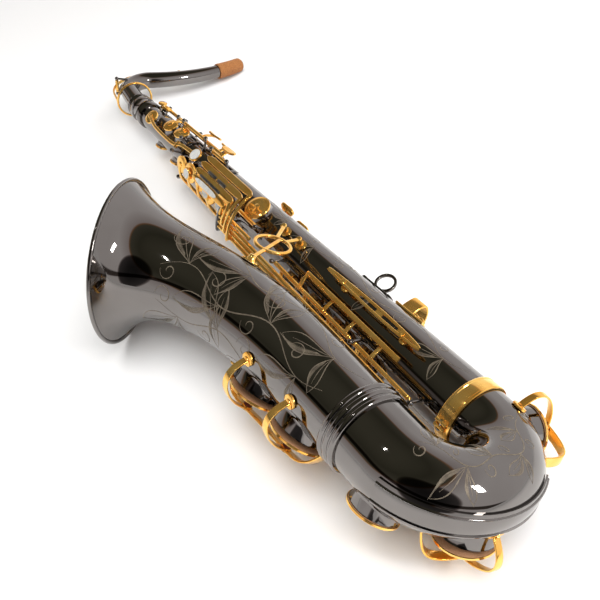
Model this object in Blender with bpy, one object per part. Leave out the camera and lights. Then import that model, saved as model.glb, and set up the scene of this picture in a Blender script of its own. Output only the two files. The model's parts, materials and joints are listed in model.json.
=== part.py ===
"""A tenor saxophone lying on its right side: body, bow, bell, neck and keywork as separate solids.

Lengths in this file are millimetres and are scaled to metres when a mesh is made. The body tube's axis is +Y
(bow to neck), +Z is the player's left, -X is the front (towards the bell) and +X is the thumb side. Parts are
made round an origin on the tube's axis at the joint between body and bow, and then all moved together so that
the middle of the instrument is at the origin. Angles round a pipe run from its 0 side through +Z.
"""

import math

import bmesh
import bpy
from mathutils import Matrix, Vector

MM = 0.001
# Clearance between neighbouring pieces.
GAP = 0.3

# Driving dimensions: the pipes first. The bell's and the neck's bends are angles, in radians.
TUBE_LENGTH = 610.0
TUBE_BOTTOM_R = 30.6
TUBE_TOP_R = 13.2
WALL = 1.0
AXIS_SPACING = 99.0
BOW_LEG = 16.0
BELL_START_Y = 19.0
BELL_LENGTH = 303.0
BELL_THROAT_R = 34.8
BELL_TAPER = 0.029
RIM_R = 77.0
FLARE = 25.5
BELL_BEND = math.radians(43)
BELL_BEND_POWER = 2.4
BELL_TILT = math.radians(15.3)
NECK_SWIVEL = math.radians(11)

# Keywork: heights of chimney, open pad and cup, then the sizes of rods, arms and posts. OPEN and LOW_OPEN are
# the degrees that keys stand open.
CHIMNEY = 4.0
PAD_GAP = 0.4
CUP = 3.0
HINGE_R = 2.2
ROD_R = 1.2
ARM = 1.1
POST_R = 2.2
POST_REACH = 2.5
ON_HINGE = HINGE_R + 0.6
OVER_POST = POST_REACH + 2.8
OPEN = 9.0
LOW_OPEN = 5.0

SIDES = 24
# A stack's angle is where its holes lie round the tube; a hinge is its (angle, height) over the tube.
STACK_ANGLE = 227.0
UPPER_STACK_ANGLE = 172.0
STACK_HINGE = (175.0, 14.0)
UPPER_HINGE = (232.0, 10.0)
LONG_ROD_HEIGHT = 25.0
TABLE_HEIGHT = 29.8

MATERIALS = {
    "black_nickel": ((0.07, 0.07, 0.075), 1.0, 0.12),
    "gold_lacquer": ((0.85, 0.56, 0.18), 1.0, 0.16),
    "cork": ((0.62, 0.36, 0.18), 0.0, 0.85),
    "black_roller": ((0.02, 0.02, 0.02), 0.0, 0.3),
}


# ---------------------------------------------------------------- scene and materials


def clear_scene():
    for obj in list(bpy.data.objects):
        bpy.data.objects.remove(obj, do_unlink=True)


def material(kind, part):
    """A new Principled material of this kind, so that each part has its own."""
    colour, metallic, roughness = MATERIALS[kind]
    made = bpy.data.materials.new(f"{part}_{kind}")
    made.use_nodes = True
    shader = made.node_tree.nodes["Principled BSDF"]
    shader.inputs["Base Color"].default_value = (*colour, 1.0)
    shader.inputs["Metallic"].default_value = metallic
    shader.inputs["Roughness"].default_value = roughness
    made.diffuse_color = (*colour, 1.0)
    return made


# ---------------------------------------------------------------- the three pipes


def tube(y):
    """Body tube: centre, direction, 0 degree side, 90 degree side and outer radius."""
    radius = TUBE_BOTTOM_R + (TUBE_TOP_R - TUBE_BOTTOM_R) * y / TUBE_LENGTH
    return Vector((0, y, 0)), Vector((0, 1, 0)), Vector((1, 0, 0)), Vector((0, 0, 1)), radius


def bow(turn):
    """Bow at this many degrees round its half turn; below 0 and above 180 it runs on straight."""
    bend = math.radians(min(max(turn, 0), 180))
    half = AXIS_SPACING / 2
    out = Vector((math.cos(bend), -math.sin(bend), 0))
    along = Vector((-math.sin(bend), -math.cos(bend), 0))
    centre = Vector((-half, -BOW_LEG, 0)) + out * half
    centre += along * math.radians(turn - math.degrees(bend)) * half
    radius = TUBE_BOTTOM_R + (BELL_THROAT_R - TUBE_BOTTOM_R) * min(max(turn, 0), 180) / 180
    return centre, along, out, Vector((0, 0, 1)), radius


def bell_direction(length):
    bend = BELL_BEND * (max(length, 0) / BELL_LENGTH) ** BELL_BEND_POWER
    side = math.sin(bend)
    return Vector((-side * math.cos(BELL_TILT), math.cos(bend), -side * math.sin(BELL_TILT)))


def bell(length):
    """Bell at this distance along its centre line, which bends away from the body towards the rim."""
    steps = 24
    centre = Vector((-AXIS_SPACING, BELL_START_Y, 0))
    for i in range(steps):
        centre += bell_direction(length * (i + 0.5) / steps) * length / steps
    along = bell_direction(length)
    side = along.cross(Vector((0, 0, 1))).normalized()
    straight = BELL_THROAT_R + BELL_TAPER * length
    flare = (RIM_R - BELL_THROAT_R - BELL_TAPER * BELL_LENGTH) * math.exp((length - BELL_LENGTH) / FLARE)
    return centre, along, side, side.cross(along), straight + flare


def outward(pipe, at, angle):
    _, _, side, up, _ = pipe(at)
    turn = math.radians(angle)
    return side * math.cos(turn) + up * math.sin(turn)


def on(pipe, at, angle, height=0.0):
    """The point this far above a pipe's outer surface."""
    centre, _, _, _, radius = pipe(at)
    return centre + outward(pipe, at, angle) * (radius + height)


# ---------------------------------------------------------------- solids


def mesh_object(name, rings, closed=False):
    """A closed solid through rings of points, capped at both ends or, if closed, joined end to start."""
    shape = bmesh.new()
    made = [[shape.verts.new(point * MM) for point in ring] for ring in rings]
    count = len(made[0])
    pairs = list(zip(made, made[1:]))
    if closed:
        pairs.append((made[-1], made[0]))
    for first, second in pairs:
        for i in range(count):
            j = (i + 1) % count
            shape.faces.new((first[i], first[j], second[j], second[i]))
    if not closed:
        shape.faces.new(made[0])
        shape.faces.new(made[-1])
    bmesh.ops.recalc_face_normals(shape, faces=shape.faces)
    data = bpy.data.meshes.new(name)
    shape.to_mesh(data)
    shape.free()
    obj = bpy.data.objects.new(name, data)
    bpy.context.scene.collection.objects.link(obj)
    return obj


def ring(centre, normal, radius, sides):
    normal = normal.normalized()
    helper = Vector((0, 0, 1)) if abs(normal.z) < 0.9 else Vector((1, 0, 0))
    first = normal.cross(helper).normalized()
    second = normal.cross(first)
    turns = [2 * math.pi * i / sides for i in range(sides)]
    return [centre + (first * math.cos(t) + second * math.sin(t)) * radius for t in turns]


def pipe_ring(pipe, at, height, sides=SIDES):
    return [on(pipe, at, 360 * i / sides, height) for i in range(sides)]


def cylinder(start, end, radius, sides=10, end_radius=None):
    axis = end - start
    last = radius if end_radius is None else end_radius
    return mesh_object("piece", [ring(start, axis, radius, sides), ring(end, axis, last, sides)])


def disc(centre, normal, radius, thickness, sides=14):
    half = normal.normalized() * thickness / 2
    return cylinder(centre - half, centre + half, radius, sides)


def sleeve(start, end, outer, inner, sides=10):
    """A cylinder with a hole through it."""
    axis = end - start
    stops = ((start, outer), (end, outer), (end, inner), (start, inner))
    return mesh_object("piece", [ring(at, axis, radius, sides) for at, radius in stops], closed=True)


def bar(points, width, thickness, across=None):
    """A flat bar along the points; across is the direction of its width."""
    rings = []
    for i, point in enumerate(points):
        along = (points[min(i + 1, len(points) - 1)] - points[max(i - 1, 0)]).normalized()
        side = (across or along.cross(Vector((0, 0, 1)))).normalized()
        side = (side - along * side.dot(along)).normalized()
        up = side.cross(along)
        corners = ((1, 1), (-1, 1), (-1, -1), (1, -1))
        rings.append([point + side * width / 2 * a + up * thickness / 2 * b for a, b in corners])
    return mesh_object("piece", rings)


def hoop(centre, normal, radius, width, thickness, sides=20):
    """A flat ring of this mean radius: width is radial, thickness runs along its normal."""
    normal = normal.normalized()
    rings = []
    for point in ring(centre, normal, radius, sides):
        out = (point - centre).normalized()
        corners = ((1, 1), (-1, 1), (-1, -1), (1, -1))
        rings.append([point + out * width / 2 * a + normal * thickness / 2 * b for a, b in corners])
    return mesh_object("piece", rings, closed=True)


def band(pipe, stops, sides=SIDES):
    """A ring round a pipe. Each stop is a place along the pipe and a height, in order round the section."""
    return mesh_object("piece", [pipe_ring(pipe, at, height, sides) for at, height in stops], closed=True)


def path(start, end, steps=3, rise=0.0):
    """Stops from one (place, angle, height) to another over a pipe, raised by this in the middle."""
    found = []
    for i in range(steps + 1):
        share = i / steps
        at, angle, height = (a + (b - a) * share for a, b in zip(start, end))
        found.append((at, angle, height + 4 * rise * share * (1 - share)))
    return found


def strap(pipe, stops, width, thickness):
    """A flat bar that lies over a pipe through these (place, angle, height) stops."""
    points = [on(pipe, *stop) for stop in stops]
    rings = []
    for i, point in enumerate(points):
        along = (points[min(i + 1, len(points) - 1)] - points[max(i - 1, 0)]).normalized()
        side = along.cross(outward(pipe, stops[i][0], stops[i][1])).normalized()
        up = side.cross(along)
        corners = ((1, 1), (-1, 1), (-1, -1), (1, -1))
        rings.append([point + side * width / 2 * a + up * thickness / 2 * b for a, b in corners])
    return mesh_object("piece", rings)


def combine(name, kind, pieces, cuts=(), pivot=None, turn=None):
    """One named part: the union of the pieces less the cuts, then turned about a (point, axis, degrees)."""
    base = pieces[0]
    for tool, operation in [(p, "UNION") for p in pieces[1:]] + [(c, "DIFFERENCE") for c in cuts]:
        modifier = base.modifiers.new("join", "BOOLEAN")
        modifier.solver = "EXACT"
        modifier.operation = operation
        modifier.object = tool
    bpy.context.view_layer.update()
    evaluated = base.evaluated_get(bpy.context.evaluated_depsgraph_get())
    data = bpy.data.meshes.new_from_object(evaluated)
    for piece in (*pieces, *cuts):
        bpy.data.objects.remove(piece, do_unlink=True)
    if turn:
        point, axis, degrees = turn
        move = Matrix.Translation(point * MM)
        data.transform(move @ Matrix.Rotation(math.radians(degrees), 4, axis) @ move.inverted())
    place = Matrix.Translation((pivot or Vector()) * MM)
    data.transform(place.inverted())
    data.materials.clear()
    data.materials.append(material(kind, name))
    for face in data.polygons:
        face.use_smooth = len(face.vertices) == 4
    data.name = name
    obj = bpy.data.objects.new(name, data)
    obj.matrix_world = place
    bpy.context.scene.collection.objects.link(obj)
    return obj


# ---------------------------------------------------------------- body, bow, bell and neck


# Tone holes: pipe, place, angle and the chimney's outer radius.
HOLES = {
    "low_bb": (bell, 107, -118, 25),
    "low_b": (bell, 48, -118, 25),
    "low_cs": (bow, 172, -70, 21),
    "low_c": (bow, 98, -80, 24),
    "low_eb": (bow, 12, 0, 21),
    "d": (tube, 102, STACK_ANGLE, 19.5),
    "e": (tube, 146, STACK_ANGLE, 18.5),
    "f": (tube, 186, STACK_ANGLE, 17.5),
    "fs": (tube, 226, STACK_ANGLE, 16.5),
    "gs": (tube, 312, 128, 12.5),
    "g": (tube, 354, UPPER_STACK_ANGLE, 13.5),
    "a": (tube, 384, UPPER_STACK_ANGLE, 11.5),
    "bis": (tube, 407, UPPER_STACK_ANGLE, 8.5),
    "b": (tube, 430, UPPER_STACK_ANGLE, 10),
    "aux_c": (tube, 452, UPPER_STACK_ANGLE, 8.5),
    "side_bb": (tube, 370, -88, 10),
    "side_c": (tube, 415, -88, 9),
    "high_e": (tube, 500, -100, 8),
    "high_fs": (tube, 542, -100, 6.5),
    "palm_d": (tube, 493, 112, 8),
    "palm_eb": (tube, 517, 118, 7.5),
    "high_f": (tube, 555, 140, 7.5),
    "octave": (tube, 566, 62, 4),
}


def chimney(hole, bore):
    """The solid of a tone hole's chimney, or of the hole through it."""
    pipe, at, angle, radius = HOLES[hole]
    centre, _, _, _, pipe_r = pipe(at)
    normal = outward(pipe, at, angle)
    if bore:
        return cylinder(centre + normal * 2, on(pipe, at, angle, CHIMNEY + 2), radius - WALL, 14)
    base = math.sqrt(pipe_r**2 - radius**2) - 2 * WALL
    return cylinder(centre + normal * base, on(pipe, at, angle, CHIMNEY), radius, 14)


def drilled_pipe(name, pipe, stations):
    """A thin-walled pipe with the chimneys of every hole that is on it."""
    holes = [hole for hole, spec in HOLES.items() if spec[0] is pipe]
    shell = mesh_object("piece", [pipe_ring(pipe, at, 0) for at in stations])
    first, last = stations[0], stations[-1]
    overrun = (last - first) * 0.02
    inner = [first - overrun, *stations[1:-1], last + overrun]
    bore = mesh_object("piece", [pipe_ring(pipe, at, -WALL) for at in inner])
    raised = [chimney(hole, False) for hole in holes]
    return combine(name, "black_nickel", [shell, *raised], [bore, *(chimney(hole, True) for hole in holes)])


def make_body_tube():
    drilled_pipe("body_tube", tube, [GAP, TUBE_LENGTH / 2, TUBE_LENGTH - GAP])


def bow_turn(distance):
    """Degrees past the bow's half turn for a distance along its straight end."""
    return math.degrees(distance / (AXIS_SPACING / 2))


def make_bow():
    start = -bow_turn(BOW_LEG - GAP)
    end = 180 + bow_turn(BOW_LEG + BELL_START_Y - GAP)
    drilled_pipe("bow", bow, [start, *(180 * i / 10 for i in range(11)), end])


def make_bow_guard():
    """The protective plate along the bow's outer curve."""
    rings = []
    for i in range(13):
        turn = 56 + 112 * i / 12
        inner = [on(bow, turn, angle, 0.9) for angle in (-20, -7, 7, 20)]
        outer = [on(bow, turn, angle, 2.1) for angle in (20, 7, -7, -20)]
        rings.append(inner + outer)
    combine("bow_guard", "black_nickel", [mesh_object("piece", rings)])


def make_bell():
    stations = [GAP, 75, 140, 190, 230, 258, 275, 287, 296, BELL_LENGTH]
    holes = ["low_b", "low_bb"]
    shell = mesh_object("piece", [pipe_ring(bell, at, 0) for at in stations])
    inner = [-4, *stations[1:]]
    centre, along, _, _, radius = bell(BELL_LENGTH)
    mouth = [point + along * 6 for point in pipe_ring(bell, BELL_LENGTH, -WALL)]
    bore = mesh_object("piece", [*(pipe_ring(bell, at, -WALL) for at in inner), mouth])
    roll = hoop(centre, along, radius, 4.0, 4.0, SIDES)
    raised = [chimney(hole, False) for hole in holes]
    drilled = [chimney(hole, True) for hole in holes]
    combine("bell", "black_nickel", [shell, *raised, roll], [bore, *drilled])


def make_ferrules():
    plate = [on(tube, y, 180, 4.0) for y in (-5, 5)]
    ears = bar(plate, 9.0, 6.5, Vector((0, 0, 1)))
    gold = [(-7.5, GAP), (-7.5, 1.8), (0, 2.6), (7.5, 1.8), (7.5, GAP)]
    combine("body_bow_ferrule", "gold_lacquer", [band(tube, gold), ears])
    dark = [(-9, 0.6), (-9, 2.4), (-6, 3.4), (0, 2.2), (7, 3.4), (10, 2.4), (10, 0.6)]
    combine("bell_bow_ferrule", "black_nickel", [band(bell, dark)])


def make_neck_receiver():
    """The clamping ring that holds the neck's tenon, with two ears for its screw."""
    stops = ((584, 0.5), (584, 2.6), (TUBE_LENGTH + 2, 3.0), (TUBE_LENGTH + 2, 0.7))
    lengthwise = Vector((0, 1, 0))
    ears = [bar([Vector((14.4, 598, z)), Vector((26, 598, z))], 14, 3, lengthwise) for z in (-3.5, 3.5)]
    slot = bar([Vector((8, 598, 0)), Vector((20, 598, 0))], 40, 1.5, lengthwise)
    hole = cylinder(Vector((21.5, 598, -8)), Vector((21.5, 598, 8)), 2.0, 12)
    combine("neck_receiver", "black_nickel", [band(tube, stops), *ears], [slot, hole])


def make_neck_screw():
    shank = cylinder(Vector((21.5, 598, -7.5)), Vector((21.5, 598, 9)), 1.9, 12)
    head = disc(Vector((21.5, 598, 10.5)), Vector((0, 0, 1)), 5.5, 3.0)
    combine("neck_screw", "gold_lacquer", [shank, head], pivot=Vector((21.5, 598, 10.5)))


NECK_RISE = 44.0
NECK_START = math.radians(8)
NECK_ELBOW_R = 30.0
NECK_OVER = math.radians(113)
NECK_END = math.radians(76)
NECK_REACH = 134.0
CORK_LENGTH = 40.0


def neck(at):
    """The neck: a straight rise, a tight elbow towards the thumb side, then a long shallow turn back up."""
    elbow = NECK_ELBOW_R * (NECK_OVER - NECK_START)
    total = NECK_RISE + elbow + NECK_REACH
    steps = 48
    centre = Vector((0, TUBE_LENGTH + 1, 0))
    heading = NECK_START
    for i in range(steps + 1):
        here = at * (i + 0.5) / steps if i < steps else at
        if here < NECK_RISE:
            heading = NECK_START * min(max(here, 0) / 20, 1)
        elif here < NECK_RISE + elbow:
            heading = NECK_START + (here - NECK_RISE) / NECK_ELBOW_R
        else:
            heading = NECK_OVER + (NECK_END - NECK_OVER) * (here - NECK_RISE - elbow) / NECK_REACH
        if i < steps:
            centre = centre + Vector((math.sin(heading), math.cos(heading), 0)) * at / steps
    swing = Matrix.Rotation(-NECK_SWIVEL, 3, "Y")
    along = swing @ Vector((math.sin(heading), math.cos(heading), 0))
    outer = swing @ Vector((-math.cos(heading), math.sin(heading), 0))
    radius = 12.6 + (7.6 - 12.6) * min(max(at / total, 0), 1)
    return swing @ centre, along, outer, outer.cross(along), radius


NECK_TOTAL = NECK_RISE + NECK_ELBOW_R * (NECK_OVER - NECK_START) + NECK_REACH


def make_neck():
    rise = [0, 22, NECK_RISE]
    elbow_end = NECK_TOTAL - NECK_REACH
    elbow = [NECK_RISE + (elbow_end - NECK_RISE) * i / 5 for i in range(1, 6)]
    reach = [elbow_end + NECK_REACH * i / 4 for i in range(1, 5)]
    stations = rise + elbow + reach
    outer = [pipe_ring(neck, at, 0, 16) for at in stations]
    inner = [pipe_ring(neck, at, -WALL, 16) for at in reversed(stations)]
    shell = mesh_object("piece", outer + inner, closed=True)
    collar = band(neck, ((3, -0.6), (3, 3.0), (9, 3.0), (9, -0.6)), 16)
    brace = bar([on(neck, at, 0, 1.2) for at in (50, 65, 80, 95, 110)], 5, 3.2, outward(neck, 70, 90))
    pip = cylinder(on(neck, 140, 0, -0.5), on(neck, 140, 0, 4), 3.0, 10)
    centre, _, out, side, radius = neck(62)
    posts = []
    for lateral in (-10.3, 10.3):
        foot = centre + side * lateral + out * 4.5
        posts.append(cylinder(foot, foot + out * (radius + 4.5), 1.8, 8))
    combine("neck", "black_nickel", [shell, collar, brace, pip, *posts], pivot=Vector((0, TUBE_LENGTH, 0)))


def make_neck_cork():
    at = [NECK_TOTAL - 1 - CORK_LENGTH * i / 2 for i in (2, 1, 0)]
    outer = [pipe_ring(neck, a, 1.8, 16) for a in at]
    inner = [pipe_ring(neck, a, 0.9, 16) for a in reversed(at)]
    combine("neck_cork", "cork", [mesh_object("piece", outer + inner, closed=True)])


# ---------------------------------------------------------------- keys


def hinge_line(pipe, hinge, span):
    angle, height = hinge
    return on(pipe, span[0], angle, height), on(pipe, span[1], angle, height)


def reach(pipe, hinge, span, place, target, steps=4, rise=0.0):
    """Stops of a lever from a hinge tube to a target, clear of the rod inside and of the end posts."""
    angle, height = hinge
    if span[0] <= target[0] <= span[1]:
        offset = math.degrees((HINGE_R - 0.45) / (pipe(place)[4] + height))
        return path((place, angle + math.copysign(offset, target[1] - angle), height), target, steps, rise)
    past = span[0] - 5 if target[0] < place else span[1] + 5
    return [(place, angle, height + ON_HINGE), *path((past, angle, height + OVER_POST), target, steps)]


def cup(hole):
    """The pad cup that closes a tone hole."""
    pipe, at, angle, radius = HOLES[hole]
    middle = on(pipe, at, angle, CHIMNEY + PAD_GAP + CUP / 2)
    return disc(middle, outward(pipe, at, angle), radius + 1.5, CUP)


def cup_top(hole):
    pipe, at, angle, _ = HOLES[hole]
    return (at, angle, CHIMNEY + PAD_GAP + CUP + ARM * 0.6)


def key(name, hole, hinge, span, opened=0.0, touches=(), hollow=False, rise=0.0):
    """A key: hinge tube, arm and pad cup over its hole, and any touches.

    opened is how far the cup is turned off the hole at rest, in degrees. Each touch is
    (place along the hinge, (place, angle, height), kind), with kind "pearl", "paddle" or "bar".
    """
    pipe, at, angle, _ = HOLES[hole]
    start, end = hinge_line(pipe, hinge, span)
    tube_piece = sleeve(start, end, HINGE_R, ROD_R + 0.1) if hollow else cylinder(start, end, HINGE_R, 8)
    root = min(max(at, span[0] + 6), span[1] - 6)
    arm = reach(pipe, hinge, span, root, cup_top(hole), rise=rise)
    pieces = [tube_piece, cup(hole), strap(pipe, arm, 4.5, 2 * ARM)]
    for place, target, kind in touches:
        pieces.extend(touch(pipe, hinge, span, place, target, kind))
    turn = (start, end - start, opened) if opened else None
    return combine(name, "gold_lacquer", pieces, pivot=(start + end) / 2, turn=turn)


def touch(pipe, hinge, span, place, target, kind):
    """The lever and finger piece of a key."""
    normal = outward(pipe, target[0], target[1])
    pieces = [strap(pipe, reach(pipe, hinge, span, place, target), 4.0, 2 * ARM)]
    if kind == "pearl":
        pieces.append(disc(on(pipe, *target) + normal * 0.8, normal, 8.0, 3.0))
    if kind == "paddle":
        ends = [(target[0] + dy, target[1], target[2] + 0.4) for dy in (-11, 11)]
        pieces.append(strap(pipe, ends, 11.0, 2.6))
    return pieces


def ribs(name, pipe, spine, posts, width=5.0, extra=()):
    """A narrow plate on the pipe. Each post is (place, angle, height), joined to it by a curved foot."""
    places = [post[0] for post in posts]
    low, high = min(places) - 2, max(places) + 2
    pieces = [strap(pipe, path((low, spine, 1.2), (high, spine, 1.2)), width, 1.2)]
    for at, angle, height in posts:
        if angle != spine:
            pieces.append(strap(pipe, path((at, spine, 1.25), (at, angle, 1.25)), 4.0, 1.2))
        pieces.append(cylinder(on(pipe, at, angle, 1.2), on(pipe, at, angle, height), POST_R, 8))
    combine(name, "black_nickel", [*pieces, *extra])


def make_lower_stack():
    """Right-hand keys. The F sharp key carries the long bar that the other keys' feet reach under."""
    _, height = STACK_HINGE
    bar_angle = 152.0

    def foot(y):
        return (y, (y, bar_angle + 4, height - 4.4), "bar")

    key("d_key", "d", STACK_HINGE, (29.5, 106.5), OPEN, [foot(84)], True)
    key("e_key", "e", STACK_HINGE, (113.5, 151.7), OPEN, [foot(122)], True)
    key("f_key", "f", STACK_HINGE, (152.3, 190.7), OPEN, [foot(156)], True)
    lever = (196, (196, bar_angle, height), "bar")
    ends = [(y, bar_angle, height) for y in (60, 198)]
    make_linked_key("fs_key", "fs", STACK_HINGE, (191.3, 239.5), lever, ends)
    for i, (low, high) in enumerate(((26.5, 110), (110, 243))):
        start, end = hinge_line(tube, STACK_HINGE, (low + 2.6, high - 2.6))
        combine(f"lower_stack_rod_{i + 1}", "gold_lacquer", [cylinder(start, end, ROD_R, 12)])
    posts = [(y, STACK_HINGE[0], height + POST_REACH) for y in (26.5, 110, 243)]
    ribs("lower_stack_rib", tube, STACK_HINGE[0], posts)


def make_linked_key(name, hole, hinge, span, lever, ends):
    """The F sharp key: as key(), with a long flat bar parallel to the hinge."""
    pipe, at, angle, _ = HOLES[hole]
    start, end = hinge_line(pipe, hinge, span)
    arm = reach(pipe, hinge, span, at, cup_top(hole))
    pieces = [sleeve(start, end, HINGE_R, ROD_R + 0.1), cup(hole), strap(pipe, arm, 4.5, 2 * ARM)]
    pieces.extend(touch(pipe, hinge, span, *lever))
    pieces.append(strap(pipe, ends, 4.5, 2.0))
    combine(name, "gold_lacquer", pieces, pivot=(start + end) / 2, turn=(start, end - start, OPEN))


def make_upper_stack():
    """Left-hand keys, with the pearls of G, A and B on the player's side."""
    key("g_key", "g", UPPER_HINGE, (340.5, 370.7), -OPEN, [], True)
    key("a_key", "a", UPPER_HINGE, (371.3, 395.7), -OPEN, [], True)
    key("bis_key", "bis", UPPER_HINGE, (396.3, 417.7), -OPEN, [], True)
    key("b_key", "b", UPPER_HINGE, (418.3, 441.7), -OPEN, [], True)
    key("aux_c_key", "aux_c", UPPER_HINGE, (442.3, 467), -OPEN, [], True)
    start, end = hinge_line(tube, UPPER_HINGE, (340.1, 467.4))
    combine("upper_stack_rod", "gold_lacquer", [cylinder(start, end, ROD_R, 12)])
    posts = [(y, UPPER_HINGE[0], UPPER_HINGE[1] + POST_REACH) for y in (337.5, 470)]
    ribs("upper_stack_rib", tube, UPPER_HINGE[0], posts)


def make_side_keys():
    """Closed keys of the right hand on four parallel hinges; the lowest lever has the lowest cup."""
    lines = (
        ("side_bb_key", "side_bb", -54, (231, 378)),
        ("side_c_key", "side_c", -43, (260, 422)),
        ("high_e_key", "high_e", -32, (289, 507)),
        ("high_fs_key", "high_fs", -21, (318, 549)),
    )
    posts = []
    for name, hole, angle, span in lines:
        place = span[0] + 9
        key(name, hole, (angle, 8.0), span, 0.0, [(place, (place, angle + 30, 13), "paddle")])
        posts.extend((y, angle, 8.0 + POST_REACH) for y in (span[0] - 2.6, span[1] + 2.6))
    ribs("side_key_rib", tube, -38, posts)


def make_palm_keys():
    key("palm_d_key", "palm_d", (92, 12), (455, 501), 0.0, [(463, (463, 58, 16), "paddle")])
    key("palm_eb_key", "palm_eb", (78, 7), (425, 525), 0.0, [(434, (434, 56, 14), "paddle")])
    make_front_f_key()
    start, end = hinge_line(tube, (104, 12), (396, 424))
    lever = touch(tube, (104, 12), (396, 424), 410, (410, 84, 17), "paddle")
    hinge = cylinder(start, end, HINGE_R, 8)
    combine("palm_f_lever", "gold_lacquer", [hinge, *lever], pivot=(start + end) / 2)
    posts = [(452, 92, 12 + POST_REACH), (504, 92, 12 + POST_REACH)]
    posts += [(422, 78, 7 + POST_REACH), (528, 78, 7 + POST_REACH)]
    posts += [(393, 104, 12 + POST_REACH), (427, 104, 12 + POST_REACH)]
    posts += [(472, angle, 13 + POST_REACH) for angle in (130, 162)]
    ribs("palm_key_rib", tube, 72, posts)


def make_front_f_key():
    """The front F lever: it rocks on a hinge across the tube, so pressing its pearl lifts its cup."""
    middle = on(tube, 472, 146, 13)
    across = outward(tube, 472, 146 + 90)
    touch_stop = (431, 136, 15)
    stops = [cup_top("high_f"), (530, 152, 11), (485, 152, 12.5), (472, 146, 13), (462, 140, 14), touch_stop]
    normal = outward(tube, *touch_stop[:2])
    hinge = cylinder(middle - across * 4.4, middle + across * 4.4, HINGE_R, 8)
    pearl = disc(on(tube, *touch_stop) + normal * 0.8, normal, 8.0, 3.0)
    lever = strap(tube, stops, 4.0, 2 * ARM)
    combine("front_f_key", "gold_lacquer", [hinge, cup("high_f"), lever, pearl], pivot=middle)


def make_octave_keys():
    key("body_octave_key", "octave", (32, 8), (540, 574), 0.0)
    start, end = hinge_line(tube, (28, 8), (455, 500))
    lever = touch(tube, (28, 8), (455, 500), 478, (478, 5, 9.5), "paddle")
    hinge = cylinder(start, end, HINGE_R, 8)
    combine("octave_lever", "gold_lacquer", [hinge, *lever], pivot=(start + end) / 2)
    posts = [(452, 28, 8 + POST_REACH), (503, 28, 8 + POST_REACH)]
    posts += [(537, 32, 8 + POST_REACH), (577, 32, 8 + POST_REACH)]
    ribs("octave_rib", tube, 28, posts)
    make_neck_octave_key()


def make_neck_octave_key():
    """The neck's octave key: a loop round the neck, a hinge on the elbow and a long arm to the pip."""
    loop_at, hinge_at, pip_at = 26, 62, 140
    centre, along, _, side, _ = neck(loop_at)
    pieces = [hoop(centre, along, 22.0, 2.6, 3.0, 16)]
    middle = on(neck, hinge_at, 0, 7.0)
    across = neck(hinge_at)[3]
    start, end = middle - across * 8.0, middle + across * 8.0
    pieces.append(cylinder(start, end, HINGE_R, 8))
    stops = [(loop_at - 1, 9.6), (45, 9.0), (hinge_at, 8.6), (80, 7.6), (110, 7.4), (pip_at + 2, 7.4)]
    pieces.append(strap(neck, [(at, 0, height) for at, height in stops], 4.0, 2.2))
    normal = outward(neck, pip_at, 0)
    pieces.append(disc(on(neck, pip_at, 0, 5.9), normal, 4.0, 3.0, 12))
    combine("neck_octave_key", "gold_lacquer", pieces, pivot=middle)


def make_gs_key():
    key("gs_key", "gs", (157, 9), (294, 330), 0.0)


def make_table():
    """Left little-finger table: four nested levers on long parallel rods."""
    top = 332.0
    levers = (
        ("gs_touch", 168, 276.0, 328, 158),
        ("low_cs_touch", 175, 44.0, 321, 148),
        ("low_bb_touch", 182, 93.0, 314, 138),
        ("low_b_touch", 189, 128.0, 307, 128),
    )
    for name, angle, low, crossing, plate in levers:
        hinge = (angle, LONG_ROD_HEIGHT)
        start, end = hinge_line(tube, hinge, (low, top))
        riser_ends = [on(tube, crossing, angle, at) for at in (LONG_ROD_HEIGHT, TABLE_HEIGHT + 0.6)]
        riser = cylinder(*riser_ends, 1.9, 8)
        over = path((crossing, angle, TABLE_HEIGHT), (crossing, plate, TABLE_HEIGHT), 4)
        run = [(crossing - 2, plate, TABLE_HEIGHT), (396, plate, TABLE_HEIGHT)]
        pieces = [cylinder(start, end, HINGE_R, 8), riser, strap(tube, over, 4.0, 2 * ARM)]
        pieces.append(strap(tube, run, 6.4, 2.4))
        combine(name, "gold_lacquer", pieces, pivot=(start + end) / 2)
    plate = strap(tube, path((335, 196, LONG_ROD_HEIGHT), (335, 164, LONG_ROD_HEIGHT)), 4.4, 5.0)
    posts = [(291, 157, 9 + POST_REACH), (333, 157, 9 + POST_REACH), (335, 196, LONG_ROD_HEIGHT)]
    ribs("table_rib", tube, 180, posts, extra=[plate])
    ends = ((44.0, 175), (93.0, 182), (128.0, 189))
    posts = []
    for y, angle in ends:
        target = on(tube, y - 2.8, angle, LONG_ROD_HEIGHT)
        lean = outward(bell, y - BELL_START_Y, 0).y * (target.x + AXIS_SPACING)
        place = y - 2.8 - BELL_START_Y - lean
        centre, _, _, _, radius = bell(place)
        posts.append((place, math.degrees(math.asin(target.z / radius)), target.x - centre.x - radius + 2))
    ribs("long_rod_rib", bell, 0, posts)


# ---------------------------------------------------------------- low keys and guards


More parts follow.
